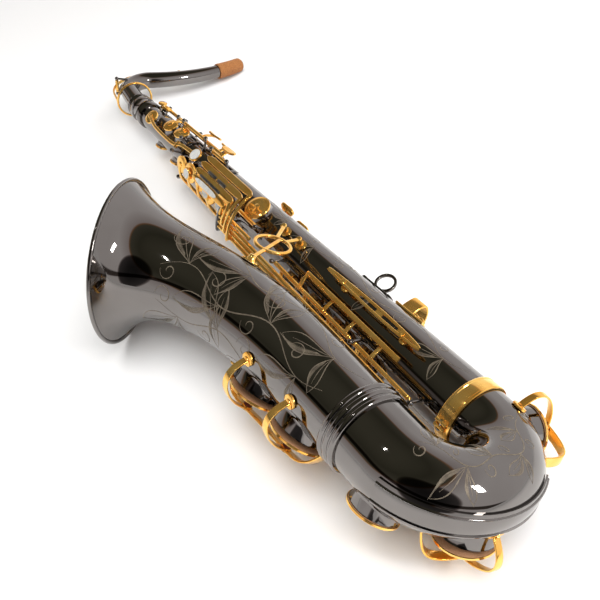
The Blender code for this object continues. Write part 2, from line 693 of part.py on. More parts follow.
def make_low_keys():
    bell_hinge = (-30, 10)
    key("low_b_key", "low_b", bell_hinge, (28, 66), -LOW_OPEN, rise=5.0)
    key("low_bb_key", "low_bb", bell_hinge, (88, 126), -LOW_OPEN, rise=5.0)
    posts = [(s, bell_hinge[0], bell_hinge[1] + POST_REACH) for s in (25.3, 68.7, 85.3, 128.7)]
    low_cs_hinge = (-55, 10)
    bow_key("low_cs_key", "low_cs", bell, low_cs_hinge, (15.5, 36), 0.0)
    posts += [(s, low_cs_hinge[0], low_cs_hinge[1] + POST_REACH) for s in (12.8, 38.7)]
    ribs("bell_key_rib", bell, bell_hinge[0], posts)
    bow_key("low_c_key", "low_c", tube, (-100, 12), (22, 70), -LOW_OPEN)
    bow_key("low_eb_key", "low_eb", tube, (-66, 9), (22, 70), 0.0)
    hinges = ((-100, 12), (-66, 9))
    posts = [(y, angle, height + POST_REACH) for angle, height in hinges for y in (19.3, 72.7)]
    ribs("bow_key_rib", tube, -84, posts)


def bow_key(name, hole, pipe, hinge, span, opened):
    """A key of the bow, hinged beside the body or the bell; its arm passes over the lower post to the bow."""
    start, end = hinge_line(pipe, hinge, span)
    angle, height = hinge

    def in_bow(place, height):
        """The same point, in the bow's own place and angle."""
        if pipe is tube:
            turn, turned = -bow_turn(BOW_LEG + place), angle
        else:
            turn, turned = 180 + bow_turn(BOW_LEG + BELL_START_Y + place), -180 - angle
        return turn, turned, height + pipe(place)[4] - bow(turn)[4]

    over = in_bow(span[0] - 5, height + OVER_POST)
    arm = [in_bow(span[0] + 7, height + ON_HINGE), *path(over, cup_top(hole), 6, 5.0)]
    pieces = [cylinder(start, end, HINGE_R, 8), cup(hole), strap(bow, arm, 5.0, 2 * ARM)]
    turn = (start, end - start, opened) if opened else None
    combine(name, "gold_lacquer", pieces, pivot=(start + end) / 2, turn=turn)


def arch(first, second, height, steps=8):
    """Stops of a flat-topped arch over a pipe between two (place, angle) feet."""
    found = []
    for i in range(steps + 1):
        share = (1 - math.cos(math.pi * i / steps)) / 2
        at, angle = (a + (b - a) * share for a, b in zip(first, second))
        found.append((at, angle, 1.4 + (height - 1.4) * (1 - (2 * share - 1) ** 8)))
    return found


def guard(name, holes, height, side, margin, arm_side=False):
    """A key guard: an arch along the pipe over the cups, and a half arch down to one side over each.

    With arm_side the arch along the pipe is the half one, away from the key's arm, and the other is whole.
    """
    pipe, first, angle, radius = HOLES[holes[0]]
    last = HOLES[holes[-1]][1]
    arc = AXIS_SPACING / 2 + radius * math.cos(math.radians(angle))
    step = margin if pipe is bell else math.degrees(margin / arc)
    spine = arch((min(first, last) - step, angle), (max(first, last) + step, angle), height)
    pieces = [strap(pipe, spine[4:] if arm_side else spine, 8.0, 1.8)]
    for hole in holes:
        at = HOLES[hole][1]
        crossing = arch((at, angle - side), (at, angle + side), height)
        pieces.append(strap(pipe, crossing if arm_side else crossing[4:], 8.0, 1.8))
    combine(name, "gold_lacquer", pieces)


def make_guards():
    guard("low_eb_guard", ["low_eb"], 23.0, 62, 31, arm_side=True)
    guard("low_c_guard", ["low_c"], 26.0, 52, 36, arm_side=True)
    guard("bell_key_guard", ["low_b", "low_bb"], 24.0, -62, 35)


# ---------------------------------------------------------------- fittings


RING_R = 17.0


def make_brace():
    """The ring brace between body and bell, on two posts of the body and one foot on the bell."""
    feet = [on(tube, y, 122, 9.0) for y in (264, 237)]
    bell_foot = on(bell, 186, 57, 5.0)
    middle = (feet[0] + feet[1]) / 2 * 0.5 + bell_foot * 0.5
    normal = (feet[0] - bell_foot).cross(feet[1] - bell_foot)
    pieces = [hoop(middle, normal, RING_R, 3.6, 3.0, 18)]
    for foot, y in zip(feet, (264, 237)):
        arm = foot - middle
        pieces.append(bar([foot, middle + arm.normalized() * RING_R], 4.0, 2.4, normal.cross(arm)))
        pieces.append(cylinder(on(tube, y, 122, 0.7), on(tube, y, 122, 11.0), 3.2, 8))
    inner = (bell_foot - middle).normalized() * (RING_R - 1)
    pieces.append(bar([bell_foot, middle + inner, middle - inner], 4.0, 2.4, normal.cross(inner)))
    pieces.append(cylinder(on(bell, 186, 57, 0.7), on(bell, 186, 57, 7.0), 4.0, 8))
    combine("bell_brace", "gold_lacquer", pieces)


def make_side_guard():
    """The long slotted guard along the left of the lower body."""
    angle = 125
    across = outward(tube, 118, angle + 90)
    slots = [bar([on(tube, y, angle, 10), on(tube, y + 22, angle, 10)], 3.2, 6.0, across) for y in (84, 112)]
    feet = [cylinder(on(tube, y, angle, 0.6), on(tube, y, angle, 12), 2.6, 8) for y in (76, 160)]
    rail = strap(tube, [(54, angle, 10), (184, angle, 10)], 9.0, 2.0)
    combine("side_guard", "gold_lacquer", [rail, *feet], slots)


def make_strap_ring():
    angle = 32
    base = strap(tube, [(140, angle, 1.6), (176, angle, 1.6)], 10, 2.0)
    eye = hoop(on(tube, 158, angle, 11), outward(tube, 158, angle + 90), 9.5, 3.0, 3.6, 16)
    combine("strap_ring", "black_nickel", [base, eye])


def make_thumb_hook():
    angle = 34
    base = strap(tube, [(94, angle, 1.8), (130, angle, 1.8)], 11, 2.2)
    curl = ((34, 1.5), (33, 12), (29, 19), (18, 21), (4, 19))
    hook = bar([on(tube, 118, around, height) for around, height in curl], 15, 2.6, Vector((0, 1, 0)))
    combine("thumb_hook", "gold_lacquer", [base, hook], pivot=on(tube, 112, angle, 1.8))


def make_thumb_rest():
    combine("thumb_rest", "black_roller", [disc(on(tube, 440, 12, 2.4), outward(tube, 440, 12), 9.0, 3.4)])


def centre_on_origin():
    """Moves every part so that the middle of the whole instrument's box is at the origin."""
    bpy.context.view_layer.update()
    points = [obj.matrix_world @ vertex.co for obj in bpy.data.objects for vertex in obj.data.vertices]
    lowest = Vector([min(point[axis] for point in points) for axis in range(3)])
    highest = Vector([max(point[axis] for point in points) for axis in range(3)])
    for obj in bpy.data.objects:
        obj.location -= (lowest + highest) / 2


def main():
    clear_scene()
    make_body_tube()
    make_bow()
    make_bow_guard()
    make_bell()
    make_ferrules()
    make_neck_receiver()
    make_neck_screw()
    make_neck()
    make_neck_cork()
    make_lower_stack()
    make_upper_stack()
    make_side_keys()
    make_palm_keys()
    make_octave_keys()
    make_gs_key()
    make_table()
    make_low_keys()
    make_guards()
    make_brace()
    make_side_guard()
    make_strap_ring()
    make_thumb_hook()
    make_thumb_rest()
    centre_on_origin()


main()
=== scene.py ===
"""The look of the tenor saxophone: fine pieces in place of the faceted solids, each riding on the same body.

Lengths are millimetres until a mesh is made. A point on a pipe is (place, angle, height): the place along it,
the angle round it and the height above its surface. Angles run from a pipe's own 0 degree side through +Z.
"""

import json
import math
import random

import bmesh
import bpy
from mathutils import Matrix, Vector

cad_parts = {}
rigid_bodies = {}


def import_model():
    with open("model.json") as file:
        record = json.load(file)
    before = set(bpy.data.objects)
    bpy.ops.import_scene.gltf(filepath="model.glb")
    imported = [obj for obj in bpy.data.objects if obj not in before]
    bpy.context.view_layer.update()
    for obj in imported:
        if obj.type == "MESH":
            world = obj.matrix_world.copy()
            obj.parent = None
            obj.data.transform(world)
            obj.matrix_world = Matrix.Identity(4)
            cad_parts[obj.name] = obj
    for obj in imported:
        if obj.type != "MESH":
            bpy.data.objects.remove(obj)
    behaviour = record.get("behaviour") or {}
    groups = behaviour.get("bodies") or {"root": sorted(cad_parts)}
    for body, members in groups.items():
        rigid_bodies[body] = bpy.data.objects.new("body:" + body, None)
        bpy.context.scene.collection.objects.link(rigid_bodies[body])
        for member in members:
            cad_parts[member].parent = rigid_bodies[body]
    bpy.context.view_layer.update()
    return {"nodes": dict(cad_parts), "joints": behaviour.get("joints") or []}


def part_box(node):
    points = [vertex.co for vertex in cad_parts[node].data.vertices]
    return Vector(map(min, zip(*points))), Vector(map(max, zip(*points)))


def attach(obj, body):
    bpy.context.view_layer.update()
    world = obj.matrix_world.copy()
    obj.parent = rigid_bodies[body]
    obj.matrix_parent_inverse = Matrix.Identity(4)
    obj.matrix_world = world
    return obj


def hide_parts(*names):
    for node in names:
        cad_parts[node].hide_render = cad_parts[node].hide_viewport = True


MM = 0.001
UP = Vector((0, 0, 1))

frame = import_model()


# ---------------------------------------------------------------- sizes taken from the frame


GAP = 0.3
NECK_JOINT = next(joint for joint in frame["joints"] if joint["child"] == "neck")
# The tube's axis at the joint between body and bow: every pipe below is laid out from here.
TUBE_START = Vector((NECK_JOINT["pos_m"][0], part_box("body_tube")[0].y - GAP * MM, NECK_JOINT["pos_m"][2]))


def low(node):
    return (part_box(node)[0] - TUBE_START) / MM


def high(node):
    return (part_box(node)[1] - TUBE_START) / MM


def widest(node, y):
    """The largest x of a node's points at this height along the body tube."""
    points = [(vertex.co - TUBE_START) / MM for vertex in frame["nodes"][node].data.vertices]
    return max(point.x for point in points if abs(point.y - y) < 1.0)


TUBE_LENGTH = high("body_tube").y + GAP
TUBE_BOTTOM_R = widest("body_tube", GAP)
TUBE_TOP_R = widest("body_tube", TUBE_LENGTH - GAP)
AXIS_SPACING = -(low("bell_bow_ferrule").x + high("bell_bow_ferrule").x) / 2
BELL_START_Y = low("bell_bow_ferrule").y + 9.0
BOW_LEG = 16.0
WALL = 1.0
BELL_LENGTH = 303.0
BELL_THROAT_R = 34.8
BELL_TAPER = 0.029
RIM_R = 77.0
FLARE = 25.5
BELL_BEND = math.radians(43)
BELL_BEND_POWER = 2.4
BELL_TILT = math.radians(15.3)
NECK_SWIVEL = math.radians(11)
NECK_RISE = 44.0
NECK_START = math.radians(8)
NECK_ELBOW_R = 30.0
NECK_OVER = math.radians(113)
NECK_END = math.radians(76)
NECK_REACH = 134.0
NECK_ELBOW = NECK_ELBOW_R * (NECK_OVER - NECK_START)
NECK_TOTAL = NECK_RISE + NECK_ELBOW + NECK_REACH
NECK_HINGE = 62
NECK_VENT = 140
CORK_LENGTH = 40.0
CHIMNEY = 4.0
PAD_GAP = 0.4
CUP = 3.0
HINGE_R = 2.2
ROD_R = 1.2
ARM = 1.1
POST_REACH = 2.5
ON_HINGE = HINGE_R + 0.6
OVER_POST = POST_REACH + 2.8
OPEN = 9.0
LOW_OPEN = 5.0
STACK_ANGLE = 227.0
UPPER_STACK_ANGLE = 172.0
STACK_HINGE = (175.0, 14.0)
UPPER_HINGE = (232.0, 10.0)
LONG_ROD_HEIGHT = 25.0
TABLE_HEIGHT = 29.8


# ---------------------------------------------------------------- materials


# How deep the bumps of a finish are at full strength, in metres.
RIPPLE_DEPTH = 0.0002


def new_look(name):
    look = bpy.data.materials.new(name)
    look.use_nodes = True
    return look, look.node_tree, look.node_tree.nodes["Principled BSDF"]


def node(tree, kind, **inputs):
    """A shader node; its inputs are named with _ for spaces, and may be values or other nodes' outputs."""
    made = tree.nodes.new(kind)
    for name, value in inputs.items():
        socket = made.inputs[name.replace("_", " ")]
        if isinstance(value, bpy.types.NodeSocket):
            tree.links.new(value, socket)
        else:
            socket.default_value = value
    return made


def noise(tree, scale, detail=3.0, stretch=None):
    """Noise in the object's own metres, drawn out along an axis where stretch says so."""
    place = tree.nodes.new("ShaderNodeTexCoord").outputs["Object"]
    if stretch:
        place = node(tree, "ShaderNodeMapping", Vector=place, Scale=stretch).outputs["Vector"]
    return node(tree, "ShaderNodeTexNoise", Vector=place, Scale=scale, Detail=detail).outputs["Fac"]


def between(tree, factor, low_value, high_value, start=0.35, end=0.65):
    """The factor stretched so that start to end becomes low_value to high_value."""
    made = node(tree, "ShaderNodeMapRange", Value=factor)
    made.inputs["From Min"].default_value = start
    made.inputs["From Max"].default_value = end
    made.inputs["To Min"].default_value = low_value
    made.inputs["To Max"].default_value = high_value
    return made.outputs["Result"]


def mixed(tree, factor, first, second):
    made = tree.nodes.new("ShaderNodeMix")
    made.data_type = "RGBA"
    tree.links.new(factor, made.inputs["Factor"])
    made.inputs["A"].default_value = (*first, 1)
    made.inputs["B"].default_value = (*second, 1)
    return made.outputs["Result"]


def either(tree, factor, first, second):
    """The first shader where the factor is 0, the second where it is 1."""
    made = tree.nodes.new("ShaderNodeMixShader")
    for value, socket in zip((factor, first, second), made.inputs):
        tree.links.new(value, socket)
    return made.outputs["Shader"]


def bump(tree, shader, height, strength, distance):
    made = node(tree, "ShaderNodeBump", Height=height, Strength=strength, Distance=distance)
    tree.links.new(made.outputs["Normal"], shader.inputs["Normal"])


def polished(name, clean, aged, metallic, smooth_at, dull_at, wear_scale, ripple):
    """A polished finish: its colour drifts between two tones, it has duller patches and very fine ripples."""
    look, tree, shader = new_look(name)
    patches = noise(tree, wear_scale)
    colour = mixed(tree, between(tree, patches, 0, 1), clean, aged)
    tree.links.new(colour, shader.inputs["Base Color"])
    shader.inputs["Metallic"].default_value = metallic
    smears = noise(tree, wear_scale * 3, 5.0, (1.0, 0.25, 1.0))
    tree.links.new(between(tree, smears, smooth_at, dull_at), shader.inputs["Roughness"])
    bump(tree, shader, noise(tree, wear_scale * 8, 2.0), ripple, RIPPLE_DEPTH)
    return look


def grained(name, grain_at, tones, roughness, strength, coat=0.0, pits=None, pit_depth=RIPPLE_DEPTH):
    """A soft or natural finish: its two tones follow a grain, and so does its relief unless it has pits."""
    look, tree, shader = new_look(name)
    grain = noise(tree, *grain_at)
    tree.links.new(mixed(tree, between(tree, grain, 0, 1), *tones), shader.inputs["Base Color"])
    shader.inputs["Roughness"].default_value = roughness
    shader.inputs["Coat Weight"].default_value = coat
    relief = node(tree, "ShaderNodeTexVoronoi", Scale=pits).outputs["Distance"] if pits else grain
    bump(tree, shader, relief, strength, pit_depth)
    return look


# Clean tone, aged tone, metallic, least and most roughness, scale of the wear, strength of the ripples.
FINISHES = {
    "black_nickel": ((0.225, 0.21, 0.20), (0.19, 0.175, 0.165), 1.0, 0.03, 0.06, 14, 0.02),
    "gold_lacquer": ((1.0, 0.63, 0.18), (0.96, 0.49, 0.09), 0.9, 0.08, 0.17, 60, 0.05),
    "engraving": ((0.20, 0.165, 0.12), (0.13, 0.105, 0.08), 0.5, 0.4, 0.55, 200, 0.3),
    "steel": ((0.50, 0.51, 0.54), (0.34, 0.35, 0.38), 1.0, 0.15, 0.3, 90, 0.1),
    "roller": ((0.014, 0.013, 0.012), (0.03, 0.028, 0.025), 0.0, 0.2, 0.35, 90, 0.1),
    "felt": ((0.10, 0.02, 0.02), (0.05, 0.01, 0.01), 0.0, 0.85, 0.95, 800, 0.6),
}
LOOKS = {name: polished(name, *finish) for name, finish in FINISHES.items()}
CORK_TONES = ((0.46, 0.19, 0.055), (0.22, 0.08, 0.025))
LEATHER_TONES = ((0.55, 0.30, 0.16), (0.38, 0.19, 0.10))
PEARL_TONES = ((0.62, 0.60, 0.55), (0.46, 0.48, 0.48))
PEARL_GRAIN = (220, 2.0, (1.0, 3.0, 1.0))
LOOKS["cork"] = grained("cork", (900, 4.0), CORK_TONES, 0.85, 0.5, pits=700.0, pit_depth=0.0004)
LOOKS["pad"] = grained("pad_leather", (1500, 3.0), LEATHER_TONES, 0.6, 0.3)
LOOKS["pearl"] = grained("pearl", PEARL_GRAIN, PEARL_TONES, 0.16, 0.1, coat=0.6)


# ---------------------------------------------------------------- the pipes


def tube(y):
    """Body tube: centre, direction, 0 degree side, 90 degree side and outer radius."""
    radius = TUBE_BOTTOM_R + (TUBE_TOP_R - TUBE_BOTTOM_R) * y / TUBE_LENGTH
    return Vector((0, y, 0)), Vector((0, 1, 0)), Vector((1, 0, 0)), Vector((0, 0, 1)), radius


def bow(turn):
    """Bow at this many degrees round its half turn; below 0 and above 180 it runs on straight."""
    bend = math.radians(min(max(turn, 0), 180))
    half = AXIS_SPACING / 2
    out = Vector((math.cos(bend), -math.sin(bend), 0))
    along = Vector((-math.sin(bend), -math.cos(bend), 0))
    centre = Vector((-half, -BOW_LEG, 0)) + out * half
    centre += along * math.radians(turn - math.degrees(bend)) * half
    radius = TUBE_BOTTOM_R + (BELL_THROAT_R - TUBE_BOTTOM_R) * min(max(turn, 0), 180) / 180
    return centre, along, out, Vector((0, 0, 1)), radius


def bow_turn(distance):
    return math.degrees(distance / (AXIS_SPACING / 2))


def bell_direction(length):
    bend = BELL_BEND * (max(length, 0) / BELL_LENGTH) ** BELL_BEND_POWER
    side = math.sin(bend)
    return Vector((-side * math.cos(BELL_TILT), math.cos(bend), -side * math.sin(BELL_TILT)))


def bell(length):
    """Bell at this distance along its centre line, which bends away from the body towards the rim."""
    steps = 24
    centre = Vector((-AXIS_SPACING, BELL_START_Y, 0))
    for i in range(steps):
        centre += bell_direction(length * (i + 0.5) / steps) * length / steps
    along = bell_direction(length)
    side = along.cross(UP).normalized()
    straight = BELL_THROAT_R + BELL_TAPER * length
    flare = (RIM_R - BELL_THROAT_R - BELL_TAPER * BELL_LENGTH) * math.exp((length - BELL_LENGTH) / FLARE)
    return centre, along, side, side.cross(along), straight + flare


def neck(at):
    """The neck: a straight rise, a tight elbow towards the thumb side, then a long shallow turn back up."""
    steps = 48
    centre = Vector((0, TUBE_LENGTH + 1, 0))
    heading = NECK_START
    for i in range(steps + 1):
        here = at * (i + 0.5) / steps if i < steps else at
        if here < NECK_RISE:
            heading = NECK_START * min(max(here, 0) / 20, 1)
        elif here < NECK_RISE + NECK_ELBOW:
            heading = NECK_START + (here - NECK_RISE) / NECK_ELBOW_R
        else:
            share = (here - NECK_RISE - NECK_ELBOW) / NECK_REACH
            heading = NECK_OVER + (NECK_END - NECK_OVER) * share
        if i < steps:
            centre = centre + Vector((math.sin(heading), math.cos(heading), 0)) * at / steps
    swing = Matrix.Rotation(-NECK_SWIVEL, 3, "Y")
    along = swing @ Vector((math.sin(heading), math.cos(heading), 0))
    outer = swing @ Vector((-math.cos(heading), math.sin(heading), 0))
    radius = 12.6 + (7.6 - 12.6) * min(max(at / NECK_TOTAL, 0), 1)
    return swing @ centre, along, outer, outer.cross(along), radius


def outward(pipe, at, angle):
    _, _, side, up, _ = pipe(at)
    turn = math.radians(angle)
    return side * math.cos(turn) + up * math.sin(turn)


def on(pipe, at, angle, height=0.0):
    centre, _, _, _, radius = pipe(at)
    return centre + outward(pipe, at, angle) * (radius + height)


# ---------------------------------------------------------------- building shapes


class Shape:
    """Points and faces of one piece, in millimetres, before it becomes an object."""

    def __init__(self):
        self.points = []
        self.faces = []

    def loft(self, rings, closed=False, caps=True):
        start, count, total = len(self.points), len(rings[0]), len(rings)
        for found in rings:
            self.points.extend(found)
        for k in range(total if closed else total - 1):
            first, second = start + k * count, start + (k + 1) % total * count
            for i in range(count):
                j = (i + 1) % count
                self.faces.append((first + i, first + j, second + j, second + i))
        if caps and not closed:
            self.faces.append(tuple(range(start, start + count)))
            self.faces.append(tuple(range(start + (total - 1) * count, start + total * count)))

    def lathe(self, start, axis, profile, sides=24):
        """A round shape about an axis. The profile's stops are (distance along the axis, radius)."""
        axis = axis.normalized()
        self.loft([circle(start + axis * at, axis, max(radius, 0.02), sides) for at, radius in profile])

    def stud(self, pipe, stop, profile, sides=24):
        """A round shape that stands on a pipe at this (place, angle, height)."""
        self.lathe(on(pipe, *stop), outward(pipe, *stop[:2]), profile, sides)

    def strap(self, pipe, stops, width, thickness, end_width=None):
        """A bar with rounded edges that lies over a pipe through these (place, angle, height) stops."""
        last_width = end_width or width
        points = [on(pipe, *stop) for stop in stops]
        rings = []
        for i, (point, along) in enumerate(zip(points, headings(points))):
            side = along.cross(outward(pipe, stops[i][0], stops[i][1])).normalized()
            here = width + (last_width - width) * i / (len(points) - 1)
            rings.append(rounded(point, side, side.cross(along), here, thickness))
        self.loft(rings)

    def beam(self, points, side, width, thickness):
        """A bar with rounded edges through free points; side is the direction of its width."""
        rings = []
        for point, along in zip(points, headings(points)):
            flat = (side - along * side.dot(along)).normalized()
            rings.append(rounded(point, flat, flat.cross(along), width, thickness))
        self.loft(rings)

    def hoop(self, centre, normal, radius, width, thickness, sides=48):
        """A flat ring with rounded edges: width is radial, thickness runs along its normal."""
        normal = normal.normalized()
        rings = []
        for point in circle(centre, normal, radius, sides):
            rings.append(rounded(point, (point - centre).normalized(), normal, width, thickness))
        self.loft(rings, closed=True)

    def band(self, pipe, stops, sides=96):
        """A ring round a pipe, whose section is the (place, height) stops in order."""
        rings = [[on(pipe, at, 360 * i / sides, height) for i in range(sides)] for at, height in stops]
        self.loft(rings, closed=True)

    def turned(self, point, axis, degrees):
        move = Matrix.Translation(point)
        spin = move @ Matrix.Rotation(math.radians(degrees), 4, axis) @ move.inverted()
        self.points = [spin @ found for found in self.points]

    def make(self, name, body, look, replaces=(), crease=35):
        """The object of this shape, riding on a body in place of the CAD nodes that it replaces."""
        data = bpy.data.meshes.new(name)
        data.from_pydata([tuple(TUBE_START + point * MM) for point in self.points], [], self.faces)
        mesh = bmesh.new()
        mesh.from_mesh(data)
        bmesh.ops.recalc_face_normals(mesh, faces=mesh.faces)
        mesh.to_mesh(data)
        mesh.free()
        data.shade_smooth()
        data.set_sharp_from_angle(angle=math.radians(crease))
        data.materials.append(LOOKS[look])
        obj = bpy.data.objects.new(name, data)
        bpy.context.scene.collection.objects.link(obj)
        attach(obj, body)
        if replaces:
            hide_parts(*replaces)
        return obj


def headings(points):
    """The direction of travel at each of the points."""
    last = len(points) - 1
    return [(points[min(i + 1, last)] - points[max(i - 1, 0)]).normalized() for i in range(len(points))]


def circle(centre, normal, radius, sides):
    normal = normal.normalized()
    first = normal.cross(UP if abs(normal.z) < 0.9 else Vector((1, 0, 0))).normalized()
    second = normal.cross(first)
    turns = [2 * math.pi * i / sides for i in range(sides)]
    return [centre + (first * math.cos(t) + second * math.sin(t)) * radius for t in turns]


def rounded(centre, side, up, width, thickness):
    """A rounded section: straight sides with an arc of four points at each corner."""
    corner = min(width, thickness) * 0.38
    section = []
    for k, (a, b) in enumerate(((1, 1), (-1, 1), (-1, -1), (1, -1))):
        middle = centre + side * (width / 2 - corner) * a + up * (thickness / 2 - corner) * b
        for step in range(4):
            turn = math.radians(90 * k + 30 * step)
            section.append(middle + (side * math.cos(turn) + up * math.sin(turn)) * corner)
    return section


def smooth(stops, times=4):
    """The stops with points of a curve through them put in between."""
    found = []
    for i in range(len(stops) - 1):
        four = [stops[max(i - 1, 0)], stops[i], stops[i + 1], stops[min(i + 2, len(stops) - 1)]]
        for k in range(times):
            t = k / times
            weights = (
                (-t + 2 * t**2 - t**3) / 2,
                (2 - 5 * t**2 + 3 * t**3) / 2,
                (t + 4 * t**2 - 3 * t**3) / 2,
                (-(t**2) + t**3) / 2,
            )
            point = [sum(w * stop[axis] for w, stop in zip(weights, four)) for axis in range(3)]
            found.append(tuple(point))
    return [*found, stops[-1]]


def path(start, end, steps=8, rise=0.0):
    """Stops from one (place, angle, height) to another over a pipe, raised by this in the middle."""
    found = []
    for i in range(steps + 1):
        share = i / steps
        at, angle, height = (a + (b - a) * share for a, b in zip(start, end))
        found.append((at, angle, height + 4 * rise * share * (1 - share)))
    return found


# ---------------------------------------------------------------- body, bow, bell and neck


# Tone holes: pipe, place, angle and the chimney's outer radius, as in the solids.
HOLES = {
    "low_bb": (bell, 107, -118, 25),
    "low_b": (bell, 48, -118, 25),
    "low_cs": (bow, 172, -70, 21),
    "low_c": (bow, 98, -80, 24),
    "low_eb": (bow, 12, 0, 21),
    "d": (tube, 102, STACK_ANGLE, 19.5),
    "e": (tube, 146, STACK_ANGLE, 18.5),
    "f": (tube, 186, STACK_ANGLE, 17.5),
    "fs": (tube, 226, STACK_ANGLE, 16.5),
    "gs": (tube, 312, 128, 12.5),
    "g": (tube, 354, UPPER_STACK_ANGLE, 13.5),
    "a": (tube, 384, UPPER_STACK_ANGLE, 11.5),
    "bis": (tube, 407, UPPER_STACK_ANGLE, 8.5),
    "b": (tube, 430, UPPER_STACK_ANGLE, 10),
    "aux_c": (tube, 452, UPPER_STACK_ANGLE, 8.5),
    "side_bb": (tube, 370, -88, 10),
    "side_c": (tube, 415, -88, 9),
    "high_e": (tube, 500, -100, 8),
    "high_fs": (tube, 542, -100, 6.5),
    "palm_d": (tube, 493, 112, 8),
    "palm_eb": (tube, 517, 118, 7.5),
    "high_f": (tube, 555, 140, 7.5),
    "octave": (tube, 566, 62, 4),
}


def chimney(shape, hole):
    """A tone-hole chimney drawn up out of its pipe, with a rolled edge."""
    pipe, at, angle, radius = HOLES[hole]
    centre, along, _, _, pipe_r = pipe(at)
    normal = outward(pipe, at, angle)
    side = outward(pipe, at, angle + 90)
    sides = 40
    # Each ring is (radius, height, flat): the height is above the pipe's own surface or, if flat, above the
    # highest point of the hole's edge.
    profile = (
        (radius + 2.2, 0.0, False),
        (radius + 0.7, 0.5, False),
        (radius, 1.6, False),
        (radius, CHIMNEY - 0.6, True),
        (radius + 0.35, CHIMNEY - 0.15, True),
        (radius - 0.2, CHIMNEY, True),
        (radius - WALL, CHIMNEY - 0.3, True),
        (radius - WALL, -2.0, False),
    )
    rings = []
    for ring_r, height, flat in profile:
        found = []
        for i in range(sides):
            turn = 2 * math.pi * i / sides
            u, v = ring_r * math.cos(turn), ring_r * math.sin(turn)
            if flat or pipe is tube:
                level = pipe_r if flat else math.sqrt(pipe_r**2 - min(abs(v), pipe_r - 0.1) ** 2)
                found.append(centre + along * u + side * v + normal * (level + height))
            else:
                found.append(over_pipe(pipe, at, angle, u, v, height))
        rings.append(found)
    shape.loft(rings, caps=False)


def over_pipe(pipe, at, angle, u, v, height):
    """The point of a pipe u mm along and v mm round from (at, angle)."""
    radius = pipe(at)[4]
    turned = angle + math.degrees(math.asin(max(-0.999, min(0.999, v / radius))))
    if pipe is bow:
        arc = AXIS_SPACING / 2 + radius * math.cos(math.radians(turned))
        return on(bow, at + math.degrees(u / max(arc, 20)), turned, height)
    return on(pipe, at + u, turned, height)


def shell(shape, pipe, stations, sides):
    """A thin pipe through these places, open at both ends."""
    outer = [[on(pipe, at, 360 * i / sides) for i in range(sides)] for at in stations]
    inner = [[on(pipe, at, 360 * i / sides, -WALL) for i in range(sides)] for at in reversed(stations)]
    shape.loft(outer + inner, closed=True)


def spread(start, end, count):
    return [start + (end - start) * i / count for i in range(count + 1)]


def pipe_with_holes(name, look_name, pipe, stations, sides):
    shape = Shape()
    shell(shape, pipe, stations, sides)
    for hole, spec in HOLES.items():
        if spec[0] is pipe:
            chimney(shape, hole)
    shape.make(look_name, "body", "black_nickel", [name])


def make_pipes():
    pipe_with_holes("body_tube", "body_pipe", tube, spread(GAP, TUBE_LENGTH - GAP, 12), 96)
    start, end = -bow_turn(BOW_LEG - GAP), 180 + bow_turn(BOW_LEG + BELL_START_Y - GAP)
    pipe_with_holes("bow", "bow_tube", bow, [start, *spread(0, 180, 60), end], 96)
    make_bell()


def make_bell():
    shape = Shape()
    stations = [*spread(GAP, 180, 40), *spread(184, BELL_LENGTH, 50)]
    shell(shape, bell, stations, 128)
    for hole in ("low_b", "low_bb"):
        chimney(shape, hole)
    centre, along, _, _, radius = bell(BELL_LENGTH)
    rim = circle(centre, along, radius, 128)
    rings = []
    for point in rim:
        out = (point - centre).normalized()
        turns = [2 * math.pi * k / 16 for k in range(16)]
        rings.append([point + (out * math.cos(t) + along * math.sin(t)) * 2.0 for t in turns])
    shape.loft(rings, closed=True)
    shape.make("bell_horn", "body", "black_nickel", ["bell"])


def make_bow_guard():
    """The plate along the bow's outer curve, with a raised bead down each side."""
    across = [(a, 1.0 + 1.1 * max(0.0, 1 - ((abs(a) - 13.5) / 1.8) ** 2)) for a in spread(-20, 20, 60)]
    rings = []
    for i in range(61):
        turn = 56 + 112 * i / 60
        top = [on(bow, turn, angle, 1.0 + height) for angle, height in across]
        under = [on(bow, turn, angle, 0.4) for angle, _ in reversed(across)]
        rings.append(top + under)
    shape = Shape()
    shape.loft(rings)
    shape.make("bow_guard_plate", "body", "black_nickel", ["bow_guard"])


def make_ferrules():
    gold = Shape()
    half = [(-7.5, GAP), (-7.5, 1.6), (-6.6, 2.2), (-5.4, 2.2), (-4.8, 1.7)]
    gold.band(tube, [*half, (0, 2.1), *((-at, height) for at, height in reversed(half))])
    for side in (-2.6, 2.6):
        plate = [on(tube, y, 180, 3.4) + UP * side for y in (-5.5, 5.5)]
        gold.beam(plate, UP, 3.2, 5.0)
    gold.make("body_bow_clamp", "body", "gold_lacquer", ["body_bow_ferrule"])
    screw = Shape()
    middle = on(tube, 0, 180, 4.0)
    profile = [(0, 0.1), (0, 2.0), (1.2, 2.2), (1.2, 1.0), (9, 1.0), (9, 1.6), (10, 1.4), (10, 0.1)]
    screw.lathe(middle - UP * 5.5, UP, profile)
    screw.make("body_bow_clamp_screw", "body", "steel")
    dark = Shape()
    stops = [(-9, 0.2), (-9, 1.8)]
    bead = [math.pi * k / 6 for k in range(6, -1, -1)]
    for middle_y in (-6.2, 0.4, 7.0):
        stops += [(middle_y + 2.4 * math.cos(t), 1.9 + 1.5 * math.sin(t)) for t in bead]
    dark.band(bell, [*stops, (10, 1.8), (10, 0.2)], 128)
    dark.make("bell_bow_band", "body", "black_nickel", ["bell_bow_ferrule"])


